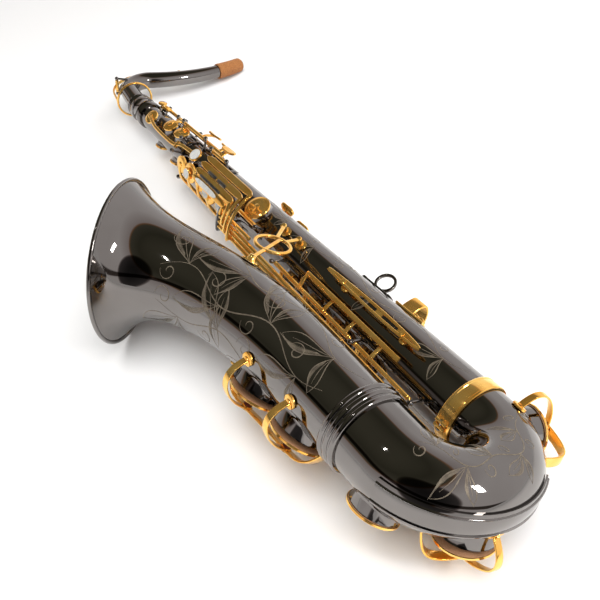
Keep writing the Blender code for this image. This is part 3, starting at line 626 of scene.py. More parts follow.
def make_receiver():
    shape = Shape()
    stops = [(584, 0.2), (584, 2.0), (585, 2.6), (592, 2.7), (593, 2.0), (604, 2.0), (605, 2.9), (611, 3.0)]
    shape.band(tube, [*stops, (TUBE_LENGTH + 2, 2.4), (TUBE_LENGTH + 2, 0.7)])
    for z in (-3.5, 3.5):
        ear = [Vector((14.4, 598, z)), Vector((20, 598, z)), Vector((26, 598, z))]
        shape.beam(ear, Vector((0, 1, 0)), 12, 3)
    shape.make("neck_socket", "body", "black_nickel", ["neck_receiver"])
    screw = Shape()
    axis = Vector((21.5, 598, 0))
    screw.lathe(axis - UP * 7.5, UP, [(0, 1.2), (0.6, 1.9), (16.4, 1.9), (16.4, 2.6)])
    head = [(0, 2.4), (0.4, 4.2), (0.8, 5.5), (2.4, 5.5), (2.8, 4.9), (3.0, 2.0), (3.0, 0.1)]
    screw.lathe(axis + UP * 9, UP, head, 28)
    screw.make("neck_clamp_screw", "neck_screw", "gold_lacquer", ["neck_screw"])


def make_neck():
    shape = Shape()
    shell(shape, neck, spread(0, NECK_TOTAL, 72), 64)
    collar = [(2, -0.6), (2, 2.0), (3, 2.8), (5, 3.0), (5.8, 2.2), (7.4, 2.2), (8.2, 2.9), (9.5, 2.4)]
    shape.band(neck, [*collar, (9.5, -0.6)], 64)
    shape.strap(neck, [(at, 0, 0.9) for at in spread(48, 112, 20)], 5, 3.0)
    shape.stud(neck, (NECK_VENT, 0, -0.5), [(0, 3.4), (0.8, 3.0), (4.2, 3.0), (4.5, 2.6)])
    centre, _, out, side, radius = neck(NECK_HINGE)
    for lateral in (-10.3, 10.3):
        foot = centre + side * lateral + out * 4.5
        post(shape, foot, out, radius + 2.5)
    shape.make("neck_pipe", "neck", "black_nickel", ["neck"])
    cork = Shape()
    start = NECK_TOTAL - CORK_LENGTH
    foot_edge = [(start, 0.2), (start, 1.5), (start + 1, 1.8)]
    sleeve = [(at, 1.8) for at in spread(start + 4, NECK_TOTAL - 5, 6)]
    tip = [(NECK_TOTAL - 2.4, 1.7), (NECK_TOTAL - 1.2, 1.0), (NECK_TOTAL - 1.2, 0.2)]
    cork.band(neck, foot_edge + sleeve + tip, 48)
    cork.make("neck_cork_sleeve", "neck", "cork", ["neck_cork"])


# ---------------------------------------------------------------- keys


def post(shape, foot, normal, height):
    """A turned post: a foot, a slim stem and a ball through which the pivot screw passes."""
    ball = 2.5
    profile = [(0, 2.9), (0.8, 2.9), (1.2, 1.5), (max(height - 2.4, 1.4), 1.3)]
    turns = [math.radians(a) for a in (-60, -35, -10, 15, 40, 65, 88)]
    profile += [(height + ball * math.sin(t), ball * math.cos(t)) for t in turns]
    shape.lathe(foot, normal, profile, 16)


# A pivot screw: its ends show on both sides of a post's ball.
PIVOT_SCREW = [(0, 0.1), (0, 1.1), (0.3, 1.3), (5.5, 1.3), (5.8, 1.1), (5.8, 0.1)]


def posts_of(hinge, places):
    """Posts for a hinge of this (angle, height) at these places along its pipe."""
    return [(at, hinge[0], hinge[1] + POST_REACH) for at in places]


def ribs(name, pipe, spine, posts, extra=()):
    """A narrow plate on the pipe with turned posts, each joined to it by a curved foot."""
    shape = Shape()
    screws = Shape()
    places = [found[0] for found in posts]
    start, end = min(places) - 2, max(places) + 2
    shape.strap(pipe, [(at, spine, 1.0) for at in spread(start, end, 24)], 5.0, 1.2)
    for at, angle, height in posts:
        if angle != spine:
            shape.strap(pipe, path((at, spine, 1.0), (at, angle, 1.0)), 4.4, 1.2)
        normal = outward(pipe, at, angle)
        post(shape, on(pipe, at, angle, 1.0), normal, height - 1.0)
        across = pipe(at)[1]
        middle = on(pipe, at, angle, height)
        screws.lathe(middle - across * 2.9, across, PIVOT_SCREW, 12)
    for stops, width, thickness in extra:
        shape.strap(pipe, stops, width, thickness)
    shape.make(name + "_posts", "body", "black_nickel", [name])
    screws.make(name + "_screws", "body", "steel")


def hinge_line(pipe, hinge, span):
    angle, height = hinge
    return on(pipe, span[0], angle, height), on(pipe, span[1], angle, height)


def hinge_tube(shape, start, end):
    """A hinge tube with a shallow groove near each end."""
    length = (end - start).length
    low_r = HINGE_R - 0.3
    profile = [(0, low_r), (0.3, HINGE_R), (2.0, HINGE_R), (2.3, low_r), (2.7, low_r), (3.0, HINGE_R)]
    profile += [(length - at, radius) for at, radius in reversed(profile)]
    shape.lathe(start, end - start, profile, 18)


def reach(pipe, hinge, span, place, target, rise=0.0):
    """Stops of a lever from a hinge tube to a target, over the posts if the target is beyond them."""
    angle, height = hinge
    if span[0] <= target[0] <= span[1]:
        offset = math.degrees((HINGE_R - 0.45) / (pipe(place)[4] + height))
        start = (place, angle + math.copysign(offset, target[1] - angle), height)
        return path(start, target, 10, rise)
    past = span[0] - 5 if target[0] < place else span[1] + 5
    return smooth([(place, angle, height + ON_HINGE), *path((past, angle, height + OVER_POST), target, 4)])


def cup_stop(hole):
    _, at, angle, _ = HOLES[hole]
    return (at, angle, CHIMNEY + PAD_GAP + CUP + ARM * 0.6)


def cup(gold, pad, hole):
    """A pad cup with a stepped, slightly domed top, and its leather pad with a metal disc in the middle."""
    pipe, at, angle, radius = HOLES[hole]
    normal = outward(pipe, at, angle)
    base = on(pipe, at, angle, CHIMNEY + PAD_GAP)
    rim = radius + 1.5
    profile = [(1.2, rim - 1.0), (0.1, rim - 0.9), (0.0, rim - 0.4), (0.3, rim), (1.9, rim), (2.3, rim - 0.3)]
    profile += [(2.5, rim - 1.2), (2.9, rim - 1.8), (3.2, rim * 0.6), (3.5, rim * 0.25), (3.6, 0.0)]
    gold.lathe(base, normal, profile, 48)
    gold.lathe(base + normal * 3.1, normal, [(0, 3.4), (1.0, 3.2), (1.5, 2.2), (1.7, 0.0)], 20)
    gold.lathe(base, normal, [(-0.25, 0.0), (-0.3, radius * 0.45), (0.2, radius * 0.5), (0.4, 0.0)], 24)
    leather = [(-0.1, 0.0), (-0.2, rim * 0.8), (0.0, rim - 1.1), (0.8, rim - 0.8), (0.9, 0.0)]
    pad.lathe(base, normal, leather, 48)


class KeyShapes:
    """The gold, leather and pearl of one key, made and turned together."""

    def __init__(self):
        self.gold, self.pad, self.pearl = Shape(), Shape(), Shape()

    def make(self, name, turn=None):
        shapes = (self.gold, self.pad, self.pearl)
        looks = (("gold_lacquer", "_work"), ("pad", "_pad"), ("pearl", "_pearl"))
        for shape, (look, ending) in zip(shapes, looks):
            if not shape.points:
                continue
            if turn:
                shape.turned(*turn)
            shape.make(name + ending, name, look, [name] if look == "gold_lacquer" else [])


def touch(shapes, pipe, hinge, span, place, target, kind):
    """The lever and finger piece of a key."""
    normal = outward(pipe, target[0], target[1])
    shapes.gold.strap(pipe, reach(pipe, hinge, span, place, target), 4.2, 2 * ARM, 3.4)
    if kind == "pearl":
        pearl_touch(shapes, on(pipe, *target) - normal * 0.7, normal, 8.0)
    if kind == "paddle":
        stops = []
        for share in spread(-1, 1, 10):
            stops.append((target[0] + 11 * share, target[1], target[2] + 0.4 + 0.8 * share**2))
        oval(shapes.gold, pipe, stops, 11.0, 2.4)


def oval(shape, pipe, stops, width, thickness, squareness=4):
    """A finger plate with rounded ends along these stops."""
    count = len(stops) - 1
    rings = []
    for i, stop in enumerate(stops):
        share = 2 * i / count - 1
        here = max(width * math.sqrt(max(0.0, 1 - share**squareness)), 1.6)
        normal = outward(pipe, stop[0], stop[1])
        side = pipe(stop[0])[1].cross(normal).normalized()
        rings.append(rounded(on(pipe, *stop), side, normal, here, thickness))
    shape.loft(rings)


def pearl_touch(shapes, centre, normal, radius):
    """A mother-of-pearl button in a gold holder."""
    holder = [(0, radius - 1.2), (0.5, radius - 0.2), (2.4, radius), (2.9, radius - 0.4), (2.9, radius - 1.1)]
    shapes.gold.lathe(centre, normal, [*holder, (2.2, radius - 1.2), (2.2, 0.0)], 32)
    button = [(2.2, radius - 1.3), (2.9, radius - 1.3), (3.2, radius - 2.4), (3.0, radius * 0.4), (2.9, 0.0)]
    shapes.pearl.lathe(centre, normal, button, 32)


def key(name, hole, hinge, span, opened=0.0, touches=(), rise=0.0, pearl=None, rail=()):
    """A key: hinge tube, arm and pad cup over its hole, and any touches."""
    pipe, at, _, _ = HOLES[hole]
    start, end = hinge_line(pipe, hinge, span)
    shapes = KeyShapes()
    hinge_tube(shapes.gold, start, end)
    cup(shapes.gold, shapes.pad, hole)
    root = min(max(at, span[0] + 6), span[1] - 6)
    shapes.gold.strap(pipe, reach(pipe, hinge, span, root, cup_stop(hole), rise=rise), 5.0, 2 * ARM, 3.4)
    for place, target, kind in touches:
        touch(shapes, pipe, hinge, span, place, target, kind)
    if pearl:
        normal = outward(pipe, *pearl[:2])
        pearl_touch(shapes, on(pipe, *pearl), normal, 7.0)
    if rail:
        shapes.gold.strap(pipe, rail, 4.5, 2.0)
    shapes.make(name, (start, end - start, opened) if opened else None)


def rod(shape, start, end):
    """A steel-cored rod with bevelled round ends."""
    length = (end - start).length
    shape.lathe(start, end - start, [(0, 0.8), (0.4, ROD_R), (length - 0.4, ROD_R), (length, 0.8)], 14)


def make_lower_stack():
    """Right-hand keys, with the bar that the three finger keys press on."""
    bar_angle, height = 152, STACK_HINGE[1]
    for name, hole, span, place in (
        ("d_key", "d", (29.5, 106.5), 84),
        ("e_key", "e", (113.5, 151.7), 122),
        ("f_key", "f", (152.3, 190.7), 156),
    ):
        touches = [(place, (place, 156, 9.6), "bar")]
        key(name, hole, STACK_HINGE, span, OPEN, touches, pearl=pearl_on(hole))
    bar_ends = [(y, bar_angle, height) for y in spread(60, 198, 12)]
    touches = [(196, (196, bar_angle, height), "bar")]
    key("fs_key", "fs", STACK_HINGE, (191.3, 239.5), OPEN, touches, rail=bar_ends)
    for i, (first, last) in enumerate(((26.5, 110), (110, 243))):
        shape = Shape()
        rod(shape, *hinge_line(tube, STACK_HINGE, (first + 2.6, last - 2.6)))
        shape.make(f"lower_stack_steel_{i + 1}", "body", "gold_lacquer", [f"lower_stack_rod_{i + 1}"])
    ribs("lower_stack_rib", tube, STACK_HINGE[0], posts_of(STACK_HINGE, (26.5, 110, 243)))


def pearl_on(hole):
    """Where a pearl's holder sits on a pad cup."""
    _, at, angle, _ = HOLES[hole]
    return at, angle, CHIMNEY + PAD_GAP + CUP + 1.4


def make_upper_stack():
    for name, hole, span in (
        ("g_key", "g", (340.5, 370.7)),
        ("a_key", "a", (371.3, 395.7)),
        ("bis_key", "bis", (396.3, 417.7)),
        ("b_key", "b", (418.3, 441.7)),
        ("aux_c_key", "aux_c", (442.3, 467)),
    ):
        pearl = pearl_on(hole) if hole in ("g", "a", "b") else None
        key(name, hole, UPPER_HINGE, span, -OPEN, pearl=pearl)
    shape = Shape()
    rod(shape, *hinge_line(tube, UPPER_HINGE, (340.1, 467.4)))
    shape.make("upper_stack_steel", "body", "gold_lacquer", ["upper_stack_rod"])
    ribs("upper_stack_rib", tube, UPPER_HINGE[0], posts_of(UPPER_HINGE, (337.5, 470)))


def make_side_keys():
    posts = []
    for name, hole, angle, span in (
        ("side_bb_key", "side_bb", -54, (231, 378)),
        ("side_c_key", "side_c", -43, (260, 422)),
        ("high_e_key", "high_e", -32, (289, 507)),
        ("high_fs_key", "high_fs", -21, (318, 549)),
    ):
        place = span[0] + 9
        key(name, hole, (angle, 8.0), span, 0.0, [(place, (place, angle + 30, 13), "paddle")])
        posts += posts_of((angle, 8.0), (span[0] - 2.6, span[1] + 2.6))
    ribs("side_key_rib", tube, -38, posts)


def lever_alone(name, hinge, span, place, target):
    """A lever with a finger plate and no cup."""
    start, end = hinge_line(tube, hinge, span)
    shapes = KeyShapes()
    hinge_tube(shapes.gold, start, end)
    touch(shapes, tube, hinge, span, place, target, "paddle")
    shapes.make(name)


def make_palm_keys():
    key("palm_d_key", "palm_d", (92, 12), (455, 501), 0.0, [(463, (463, 58, 16), "paddle")])
    key("palm_eb_key", "palm_eb", (78, 7), (425, 525), 0.0, [(434, (434, 56, 14), "paddle")])
    lever_alone("palm_f_lever", (104, 12), (396, 424), 410, (410, 84, 17))
    make_front_f_key()
    posts = posts_of((92, 12), (452, 504)) + posts_of((78, 7), (422, 528)) + posts_of((104, 12), (393, 427))
    ribs("palm_key_rib", tube, 72, posts + posts_of((130, 13), (472,)) + posts_of((162, 13), (472,)))


def make_front_f_key():
    """The front F lever: it rocks on a hinge across the tube."""
    middle = on(tube, 472, 146, 13)
    across = outward(tube, 472, 146 + 90)
    target = (431, 136, 15)
    shapes = KeyShapes()
    hinge_tube(shapes.gold, middle - across * 4.4, middle + across * 4.4)
    cup(shapes.gold, shapes.pad, "high_f")
    stops = [cup_stop("high_f"), (530, 152, 11), (485, 152, 12.5), (472, 146, 13), (462, 140, 14), target]
    shapes.gold.strap(tube, smooth(stops), 4.0, 2 * ARM)
    normal = outward(tube, *target[:2])
    pearl_touch(shapes, on(tube, *target) - normal * 0.7, normal, 8.0)
    shapes.make("front_f_key")


def make_octave_keys():
    key("body_octave_key", "octave", (32, 8), (540, 574), 0.0)
    lever_alone("octave_lever", (28, 8), (455, 500), 478, (478, 5, 9.5))
    spots = ((452, 28), (503, 28), (537, 32), (577, 32))
    ribs("octave_rib", tube, 28, [(at, angle, 8 + POST_REACH) for at, angle in spots])
    shapes = KeyShapes()
    centre, along, _, _, _ = neck(26)
    shapes.gold.hoop(centre, along, 22.0, 2.6, 3.0, 64)
    middle = on(neck, NECK_HINGE, 0, 7.0)
    across = neck(NECK_HINGE)[3]
    hinge_tube(shapes.gold, middle - across * 8, middle + across * 8)
    stops = [(25, 0, 9.6), (45, 0, 9.0), (NECK_HINGE, 0, 8.6), (80, 0, 7.6), (110, 0, 7.4), (142, 0, 7.4)]
    shapes.gold.strap(neck, smooth(stops, 6), 4.0, 2.2)
    vent = (NECK_VENT, 0, 4.6)
    shapes.gold.stud(neck, vent, [(0, 3.0), (0.2, 3.8), (1.8, 4.0), (2.4, 3.5), (2.8, 0.0)])
    shapes.pad.stud(neck, vent, [(-0.2, 0.0), (-0.2, 2.6), (0.2, 2.8), (0.3, 0.0)])
    shapes.make("neck_octave_key")


def make_table():
    """Left little-finger table: four levers on long parallel rods, with three rollers along the plates of two
    of them.
    """
    for name, angle, first, crossing, plate in (
        ("gs_touch", 168, 276.0, 328, 158),
        ("low_cs_touch", 175, 44.0, 321, 148),
        ("low_bb_touch", 182, 93.0, 314, 138),
        ("low_b_touch", 189, 128.0, 307, 128),
    ):
        shapes = KeyShapes()
        hinge_tube(shapes.gold, *hinge_line(tube, (angle, LONG_ROD_HEIGHT), (first, 332.0)))
        shapes.gold.stud(tube, (crossing, angle, LONG_ROD_HEIGHT), [(0, 1.9), (4, 1.6), (5.6, 1.9)], 16)
        across = path((crossing, angle, TABLE_HEIGHT), (crossing, plate, TABLE_HEIGHT))
        shapes.gold.strap(tube, across, 4.0, 2 * ARM)
        middle, half = (crossing - 2 + 396) / 2, (396 - crossing + 2) / 2
        stops = [(middle + half * share, plate, TABLE_HEIGHT + 0.4 * share**2) for share in spread(-1, 1, 24)]
        oval(shapes.gold, tube, stops, 7.8, 2.4, 10)
        if name == "gs_touch":
            inlay = [(y, plate, TABLE_HEIGHT + 1.2) for y in spread(344, 388, 20)]
            oval(shapes.pearl, tube, inlay, 5.6, 1.0)
        shapes.make(name)
        if name == "low_cs_touch":
            make_roller(name, plate, (342, 384))
        if name == "low_bb_touch":
            make_roller(name, plate, (340, 357))
            make_roller(name, plate, (360, 377))
    spots = ((291, 157, 9 + POST_REACH), (333, 157, 9 + POST_REACH), (335, 196, LONG_ROD_HEIGHT))
    plate_stops = path((335, 196, LONG_ROD_HEIGHT), (335, 164, LONG_ROD_HEIGHT))
    ribs("table_rib", tube, 180, spots, extra=[(plate_stops, 4.4, 5.0)])
    rods = ((44, 175), (93, 182), (128, 189))
    ribs("long_rod_rib", bell, 0, [long_rod_post(y, angle) for y, angle in rods])


def make_roller(body, plate, span):
    """The black roller let into the edge of a table plate."""
    shape = Shape()
    start, end = (on(tube, y, plate + 3.0, TABLE_HEIGHT + 0.9) for y in span)
    length = (end - start).length
    profile = [(0, 0.6), (0.3, 1.3), (1.4, 1.7)]
    profile += [(length - at, radius) for at, radius in reversed(profile)]
    shape.lathe(start, end - start, profile, 20)
    shape.make(f"{body}_roller_{span[0]}", body, "roller")


def long_rod_post(y, angle):
    """The post on the bell that carries the lower end of a long rod."""
    target = on(tube, y - 2.8, angle, LONG_ROD_HEIGHT)
    lean = outward(bell, y - BELL_START_Y, 0).y * (target.x + AXIS_SPACING)
    place = y - 2.8 - BELL_START_Y - lean
    centre, _, _, _, radius = bell(place)
    return place, math.degrees(math.asin(target.z / radius)), target.x - centre.x - radius + 2


# ---------------------------------------------------------------- low keys and guards


def make_low_keys():
    hinge = (-30, 10)
    key("low_b_key", "low_b", hinge, (28, 66), -LOW_OPEN, rise=5.0)
    key("low_bb_key", "low_bb", hinge, (88, 126), -LOW_OPEN, rise=5.0)
    posts = posts_of(hinge, (25.3, 68.7, 85.3, 128.7))
    bow_key("low_cs_key", "low_cs", bell, (-55, 10), (15.5, 36), 0.0)
    posts += posts_of((-55, 10), (12.8, 38.7))
    ribs("bell_key_rib", bell, hinge[0], posts)
    bow_key("low_c_key", "low_c", tube, (-100, 12), (22, 70), -LOW_OPEN)
    bow_key("low_eb_key", "low_eb", tube, (-66, 9), (22, 70), 0.0)
    ends = (19.3, 72.7)
    ribs("bow_key_rib", tube, -84, posts_of((-100, 12), ends) + posts_of((-66, 9), ends))


def bow_key(name, hole, pipe, hinge, span, opened):
    """A key of the bow, hinged beside the body or the bell: its arm goes over the lower post to the bow."""
    start, end = hinge_line(pipe, hinge, span)
    angle, height = hinge

    def in_bow(place, height):
        if pipe is tube:
            turn, turned = -bow_turn(BOW_LEG + place), angle
        else:
            turn, turned = 180 + bow_turn(BOW_LEG + BELL_START_Y + place), -180 - angle
        return turn, turned, height + pipe(place)[4] - bow(turn)[4]

    shapes = KeyShapes()
    hinge_tube(shapes.gold, start, end)
    cup(shapes.gold, shapes.pad, hole)
    over = in_bow(span[0] - 5, height + OVER_POST)
    arm = [in_bow(span[0] + 7, height + ON_HINGE), *path(over, cup_stop(hole), 6, 5.0)]
    shapes.gold.strap(bow, smooth(arm, 3), 5.0, 2 * ARM)
    shapes.make(name, (start, end - start, opened) if opened else None)


ARCH_STEPS = 40


def arch(first, second, height):
    """Stops of a flat-topped arch over a pipe between two (place, angle) feet."""
    found = []
    for i in range(ARCH_STEPS + 1):
        share = (1 - math.cos(math.pi * i / ARCH_STEPS)) / 2
        at, angle = (a + (b - a) * share for a, b in zip(first, second))
        found.append((at, angle, 1.4 + (height - 1.4) * (1 - (2 * share - 1) ** 8)))
    return found


def foot(shape, pipe, stop):
    """The round foot of a guard, with the head of the screw that holds it."""
    shape.stud(pipe, (*stop[:2], 0.5), [(0, 6.4), (1.4, 6.2), (1.9, 5.4), (1.9, 0.0)], 28)
    shape.stud(pipe, (*stop[:2], 2.2), [(0, 3.0), (1.0, 2.8), (1.5, 1.6), (1.6, 0.0)], 20)


def guard(name, holes, height, side, margin, arm_side=False):
    """A key guard: arches along and across the pipe, and over each cup an adjuster with a felt."""
    pipe, first, angle, hole_r = HOLES[holes[0]]
    last = HOLES[holes[-1]][1]
    arc = AXIS_SPACING / 2 + hole_r * math.cos(math.radians(angle))
    step = margin if pipe is bell else math.degrees(margin / arc)
    shape, felt = Shape(), Shape()
    spine = arch((min(first, last) - step, angle), (max(first, last) + step, angle), height)
    spine = spine[ARCH_STEPS // 2 :] if arm_side else spine
    shape.strap(pipe, spine, 10.0, 1.8)
    feet = [spine[-1]] if arm_side else [spine[0], spine[-1]]
    for hole in holes:
        at = HOLES[hole][1]
        crossing = arch((at, angle - side), (at, angle + side), height)
        crossing = crossing if arm_side else crossing[ARCH_STEPS // 2 :]
        shape.strap(pipe, crossing, 6.4, 1.8)
        feet += [crossing[0], crossing[-1]] if arm_side else [crossing[-1]]
        normal = outward(pipe, at, angle)
        top = on(pipe, at, angle, height - 2.2)
        shape.lathe(top, normal, [(0, 4.4), (0.4, 5.2), (3.6, 5.2), (4.0, 4.6), (4.4, 2.2), (4.4, 0.0)], 32)
        felt.lathe(top - normal * 2.6, normal, [(0, 3.4), (0.5, 3.9), (2.7, 3.9)], 24)
    for stop in feet:
        foot(shape, pipe, stop)
    shape.make(name + "_work", "body", "gold_lacquer", [name])
    felt.make(name + "_felt", "body", "felt")


# ---------------------------------------------------------------- fittings


RING_R = 17.0
BRACE_ANGLE = 122
BRACE_POSTS = (264, 237)
BRACE_FOOT = (186, 57)
STRAP_ANGLE = 32
HOOK_ANGLE = 34
THUMB_REST = (440, 12)


def make_brace():
    """The ring brace between body and bell, on two posts of the body and one foot on the bell."""
    shape = Shape()
    feet = [(y, on(tube, y, BRACE_ANGLE, 9.0)) for y in BRACE_POSTS]
    bell_foot = on(bell, *BRACE_FOOT, 5.0)
    middle = (feet[0][1] + feet[1][1]) / 4 + bell_foot / 2
    normal = (feet[0][1] - bell_foot).cross(feet[1][1] - bell_foot)
    shape.hoop(middle, normal, RING_R, 3.6, 3.0, 64)
    for y, top in feet:
        arm = top - middle
        shape.beam([top, middle + arm.normalized() * RING_R], normal.cross(arm), 4.0, 2.4)
        stem = [(0, 5.6), (1.2, 5.4), (1.8, 3.0), (6, 2.6), (8, 3.2), (9.6, 3.2), (10.4, 2.4), (10.6, 0.0)]
        shape.stud(tube, (y, BRACE_ANGLE, 0.7), stem)
    inner = (bell_foot - middle).normalized() * (RING_R - 1)
    shape.beam([bell_foot, middle + inner, middle, middle - inner], normal.cross(inner), 4.0, 2.4)
    stem = [(0, 9.0), (1.2, 8.6), (1.7, 4.6), (4.6, 3.6), (6.4, 3.6), (6.9, 2.8), (7.0, 0.0)]
    shape.stud(bell, (*BRACE_FOOT, 0.7), stem, 32)
    shape.make("bell_brace_ring", "body", "gold_lacquer", ["bell_brace"])


def make_side_guard():
    """The long guard along the left of the lower body: two rails that part and meet again, with bridges."""
    angle, first, last = 125, 54, 184
    shape = Shape()

    def apart(y):
        """Half the angle between the rails: nothing at the tips, most in the lower half."""
        return 4.6 * math.sin(math.pi * ((y - first) / (last - first)) ** 0.8) ** 0.6

    for way in (-1, 1):
        places = spread(first + 0.1, last - 0.1, 44)
        stops = [(y, angle + way * apart(y), 10 + 0.4 * apart(y) / 4.6) for y in places]
        shape.strap(tube, stops, 2.8, 2.0)
    for start, end in ((70, 82), (104, 112), (136, 182)):
        for side in (-1, 0, 1):
            stops = [(y, angle + side * apart(y) * 0.45, 10) for y in spread(start, end, 10)]
            shape.strap(tube, stops, 3.6, 1.6)
    for y in (76, 160):
        stem = [(0, 5.0), (1.2, 4.8), (1.8, 2.6), (8.6, 2.4), (9.8, 2.8)]
        shape.stud(tube, (y, angle, 0.6), stem)
        head = [(0, 2.9), (1.0, 2.6), (1.4, 1.2), (1.5, 0.0)]
        shape.stud(tube, (y, angle, 10.6), head, 20)
    shape.make("side_guard_rail", "body", "gold_lacquer", ["side_guard"])


def make_fittings():
    shape = Shape()
    shape.strap(tube, [(y, STRAP_ANGLE, 1.3) for y in spread(140, 176, 12)], 10, 1.8)
    end = [(0, 5.6), (1.4, 5.6), (1.9, 5.0), (1.9, 0.0)]
    for y in (141, 175):
        shape.stud(tube, (y, STRAP_ANGLE, 0.4), end, 28)
    shape.hoop(on(tube, 158, STRAP_ANGLE, 11), outward(tube, 158, STRAP_ANGLE + 90), 9.5, 3.0, 3.6, 64)
    shape.make("strap_ring_eye", "body", "black_nickel", ["strap_ring"])
    hook = Shape()
    hook.strap(tube, [(y, HOOK_ANGLE, 1.8) for y in spread(94, 130, 12)], 11, 2.2)
    curl = smooth([(118, 34, 1.5), (118, 33, 12), (118, 29, 19), (118, 18, 21), (118, 4, 19)], 6)
    hook.beam([on(tube, *stop) for stop in curl], Vector((0, 1, 0)), 15, 2.6)
    for y in (99, 106):
        head = [(0, 3.6), (0.6, 3.9), (2.4, 3.9), (2.8, 3.4), (2.8, 0.0)]
        hook.stud(tube, (y, HOOK_ANGLE, 2.6), head)
    hook.make("thumb_hook_gold", "thumb_hook", "gold_lacquer", ["thumb_hook"])
    rest = Shape()
    button = [(0, 8.6), (1.2, 9.0), (2.4, 8.8), (3.4, 7.0), (3.0, 0.0)]
    rest.stud(tube, (*THUMB_REST, 0.7), button, 40)
    rest.make("thumb_rest_pad", "body", "roller", ["thumb_rest"])


# ---------------------------------------------------------------- engraving


class Engraving:
    """Fine dull lines cut into a pipe: flat ribbons just over its surface."""

    def __init__(self, pipe):
        self.pipe = pipe
        self.shape = Shape()
        self.random = random.Random(7)

    def at(self, place, angle, u, v):
        """The (place, angle) that lies u mm along and v mm round from another."""
        degrees = math.degrees(v / self.pipe(place)[4])
        if self.pipe is bow:
            return place + bow_turn(u) * 0.6, angle + degrees
        return place + u, angle + degrees

    def ribbon(self, stops, width):
        """A line through (place, angle) stops that swells in the middle and ends in points."""
        count = len(stops)
        points = [on(self.pipe, *stop, 0.06) for stop in stops]
        start = len(self.shape.points)
        for i, (point, along) in enumerate(zip(points, headings(points))):
            side = along.cross(outward(self.pipe, *stops[i]))
            half = width / 2 * (0.25 + 0.75 * math.sin(math.pi * i / (count - 1)))
            self.shape.points += [point - side * half, point + side * half]
        for i in range(count - 1):
            first = start + 2 * i
            self.shape.faces.append((first, first + 1, first + 3, first + 2))

    def leaf(self, place, angle, heading, length):
        """A long curling leaf: two edges that bend to a hooked tip, and fine cuts along one of them."""
        bend = length * self.random.choice((-0.3, -0.22, 0.22, 0.3))
        wide = length * 0.2

        def local(t, sideways):
            forward = length * t
            across = bend * t**2.2 + sideways
            u = forward * math.cos(heading) - across * math.sin(heading)
            v = forward * math.sin(heading) + across * math.cos(heading)
            return self.at(place, angle, u, v)

        def edge(t, side):
            return side * wide * math.sin(math.pi * t**1.5) * (1.0 if side * bend > 0 else 0.7)

        shares = spread(0, 1, 24)
        for side in (-1, 1):
            self.ribbon([local(t, edge(t, side)) for t in shares], 0.95)
        hollow = 1 if bend < 0 else -1
        for t in spread(0.2, 0.92, round(length / 1.5)):
            rim = edge(t, hollow)
            self.ribbon([local(t + (0.02 + 0.04 * k) * 0.9, rim * (1 - 0.22 * k)) for k in range(4)], 0.5)
        self.ribbon([local(t * 0.8, edge(t * 0.8, -hollow) * 0.25) for t in shares], 0.6)

    def scroll(self, place, angle, heading, size, turn_way):
        """A spiral that curls in on itself."""
        stops = []
        for t in spread(0, 1, 34):
            turn = heading + turn_way * t * 4.4 * math.pi / 2
            radius = size * (1 - 0.8 * t)
            stops.append(self.at(place, angle, radius * math.cos(turn), radius * math.sin(turn)))
        self.ribbon(stops, 1.0)

    def vine(self, start, end, angle, sway, spacing, size):
        """A stem that winds along the pipe, with curling leaves and scrolls to both its sides."""
        def stem(t):
            place = start + (end - start) * t
            return place, angle + sway * math.sin(t * abs(end - start) / spacing * math.pi)

        self.ribbon([stem(t) for t in spread(0, 1, 90)], 1.1)
        count = max(2, round(abs(end - start) / spacing))
        for i in range(count):
            place, around = stem((i + 0.5) / count)
            side = -1 if i % 2 else 1
            grow = size * self.random.uniform(0.85, 1.15)
            self.leaf(place, around, side * 0.55, grow)
            self.leaf(place, around, side * 1.5, grow * 0.7)
            self.scroll(*self.at(place, around, grow * 0.35, -side * grow * 0.3), 0, grow * 0.2, -side)

    def make(self, name):
        self.shape.make(name, "body", "engraving")


def make_engraving():
    horn = Engraving(bell)
    vines = ((16, 250, 84, 14), (28, 240, 138, 12), (70, 236, 188, 10), (110, 230, 34, 9))
    for start, end, angle, sway in vines:
        horn.vine(start, end, angle, sway, 52, 52)
    horn.make("bell_engraving")
    turn = Engraving(bow)
    turn.vine(162, 8, 84, 8, 27, 36)
    turn.make("bow_engraving")
    body = Engraving(tube)
    body.vine(16, 250, 88, 14, 46, 34)
    body.vine(262, 330, 78, 12, 40, 26)
    body.make("body_engraving")


# ---------------------------------------------------------------- stage


# In metres: half the floor's side, the gap left under the lowest points, and where it starts and ends fading
# into the white of the surroundings.
FLOOR_HALF = 80.0
FLOOR_CLEARANCE = 0.0004
FADE = (0.7, 1.9)
STUDIO_WHITE = 0.97


def floor_below():
    """Where the instrument rests: a point of the floor and its upward normal.

    It is the face of the lower convex hull that lies under the middle of the instrument.
    """
    points = {}
    middle = Vector((0, 0, 0))
    for obj in bpy.data.objects:
        if obj.type == "MESH" and not obj.hide_render:
            for vertex in obj.data.vertices:
                key_of = tuple(round(value * 500) for value in vertex.co)
                if key_of not in points or points[key_of].z > vertex.co.z:
                    points[key_of] = vertex.co.copy()
    mesh = bmesh.new()
    for point in points.values():
        mesh.verts.new(point)
    hull = bmesh.ops.convex_hull(mesh, input=mesh.verts)["geom"]
    best = None
    for face in hull:
        if not isinstance(face, bmesh.types.BMFace):
            continue
        face.normal_update()
        normal = -face.normal if face.normal.z > 0 else face.normal
        if abs(normal.z) < 0.5:
            continue
        corner = face.verts[0].co.copy()
        if max((vertex.co - corner).dot(normal) for vertex in mesh.verts if vertex.link_faces) > 1e-4:
            continue
        height = corner.z - ((middle - corner).xy.dot(normal.xy)) / normal.z
        if best is None or height > best[0]:
            best = (height, corner, -normal)
    mesh.free()
    return best[1], best[2]


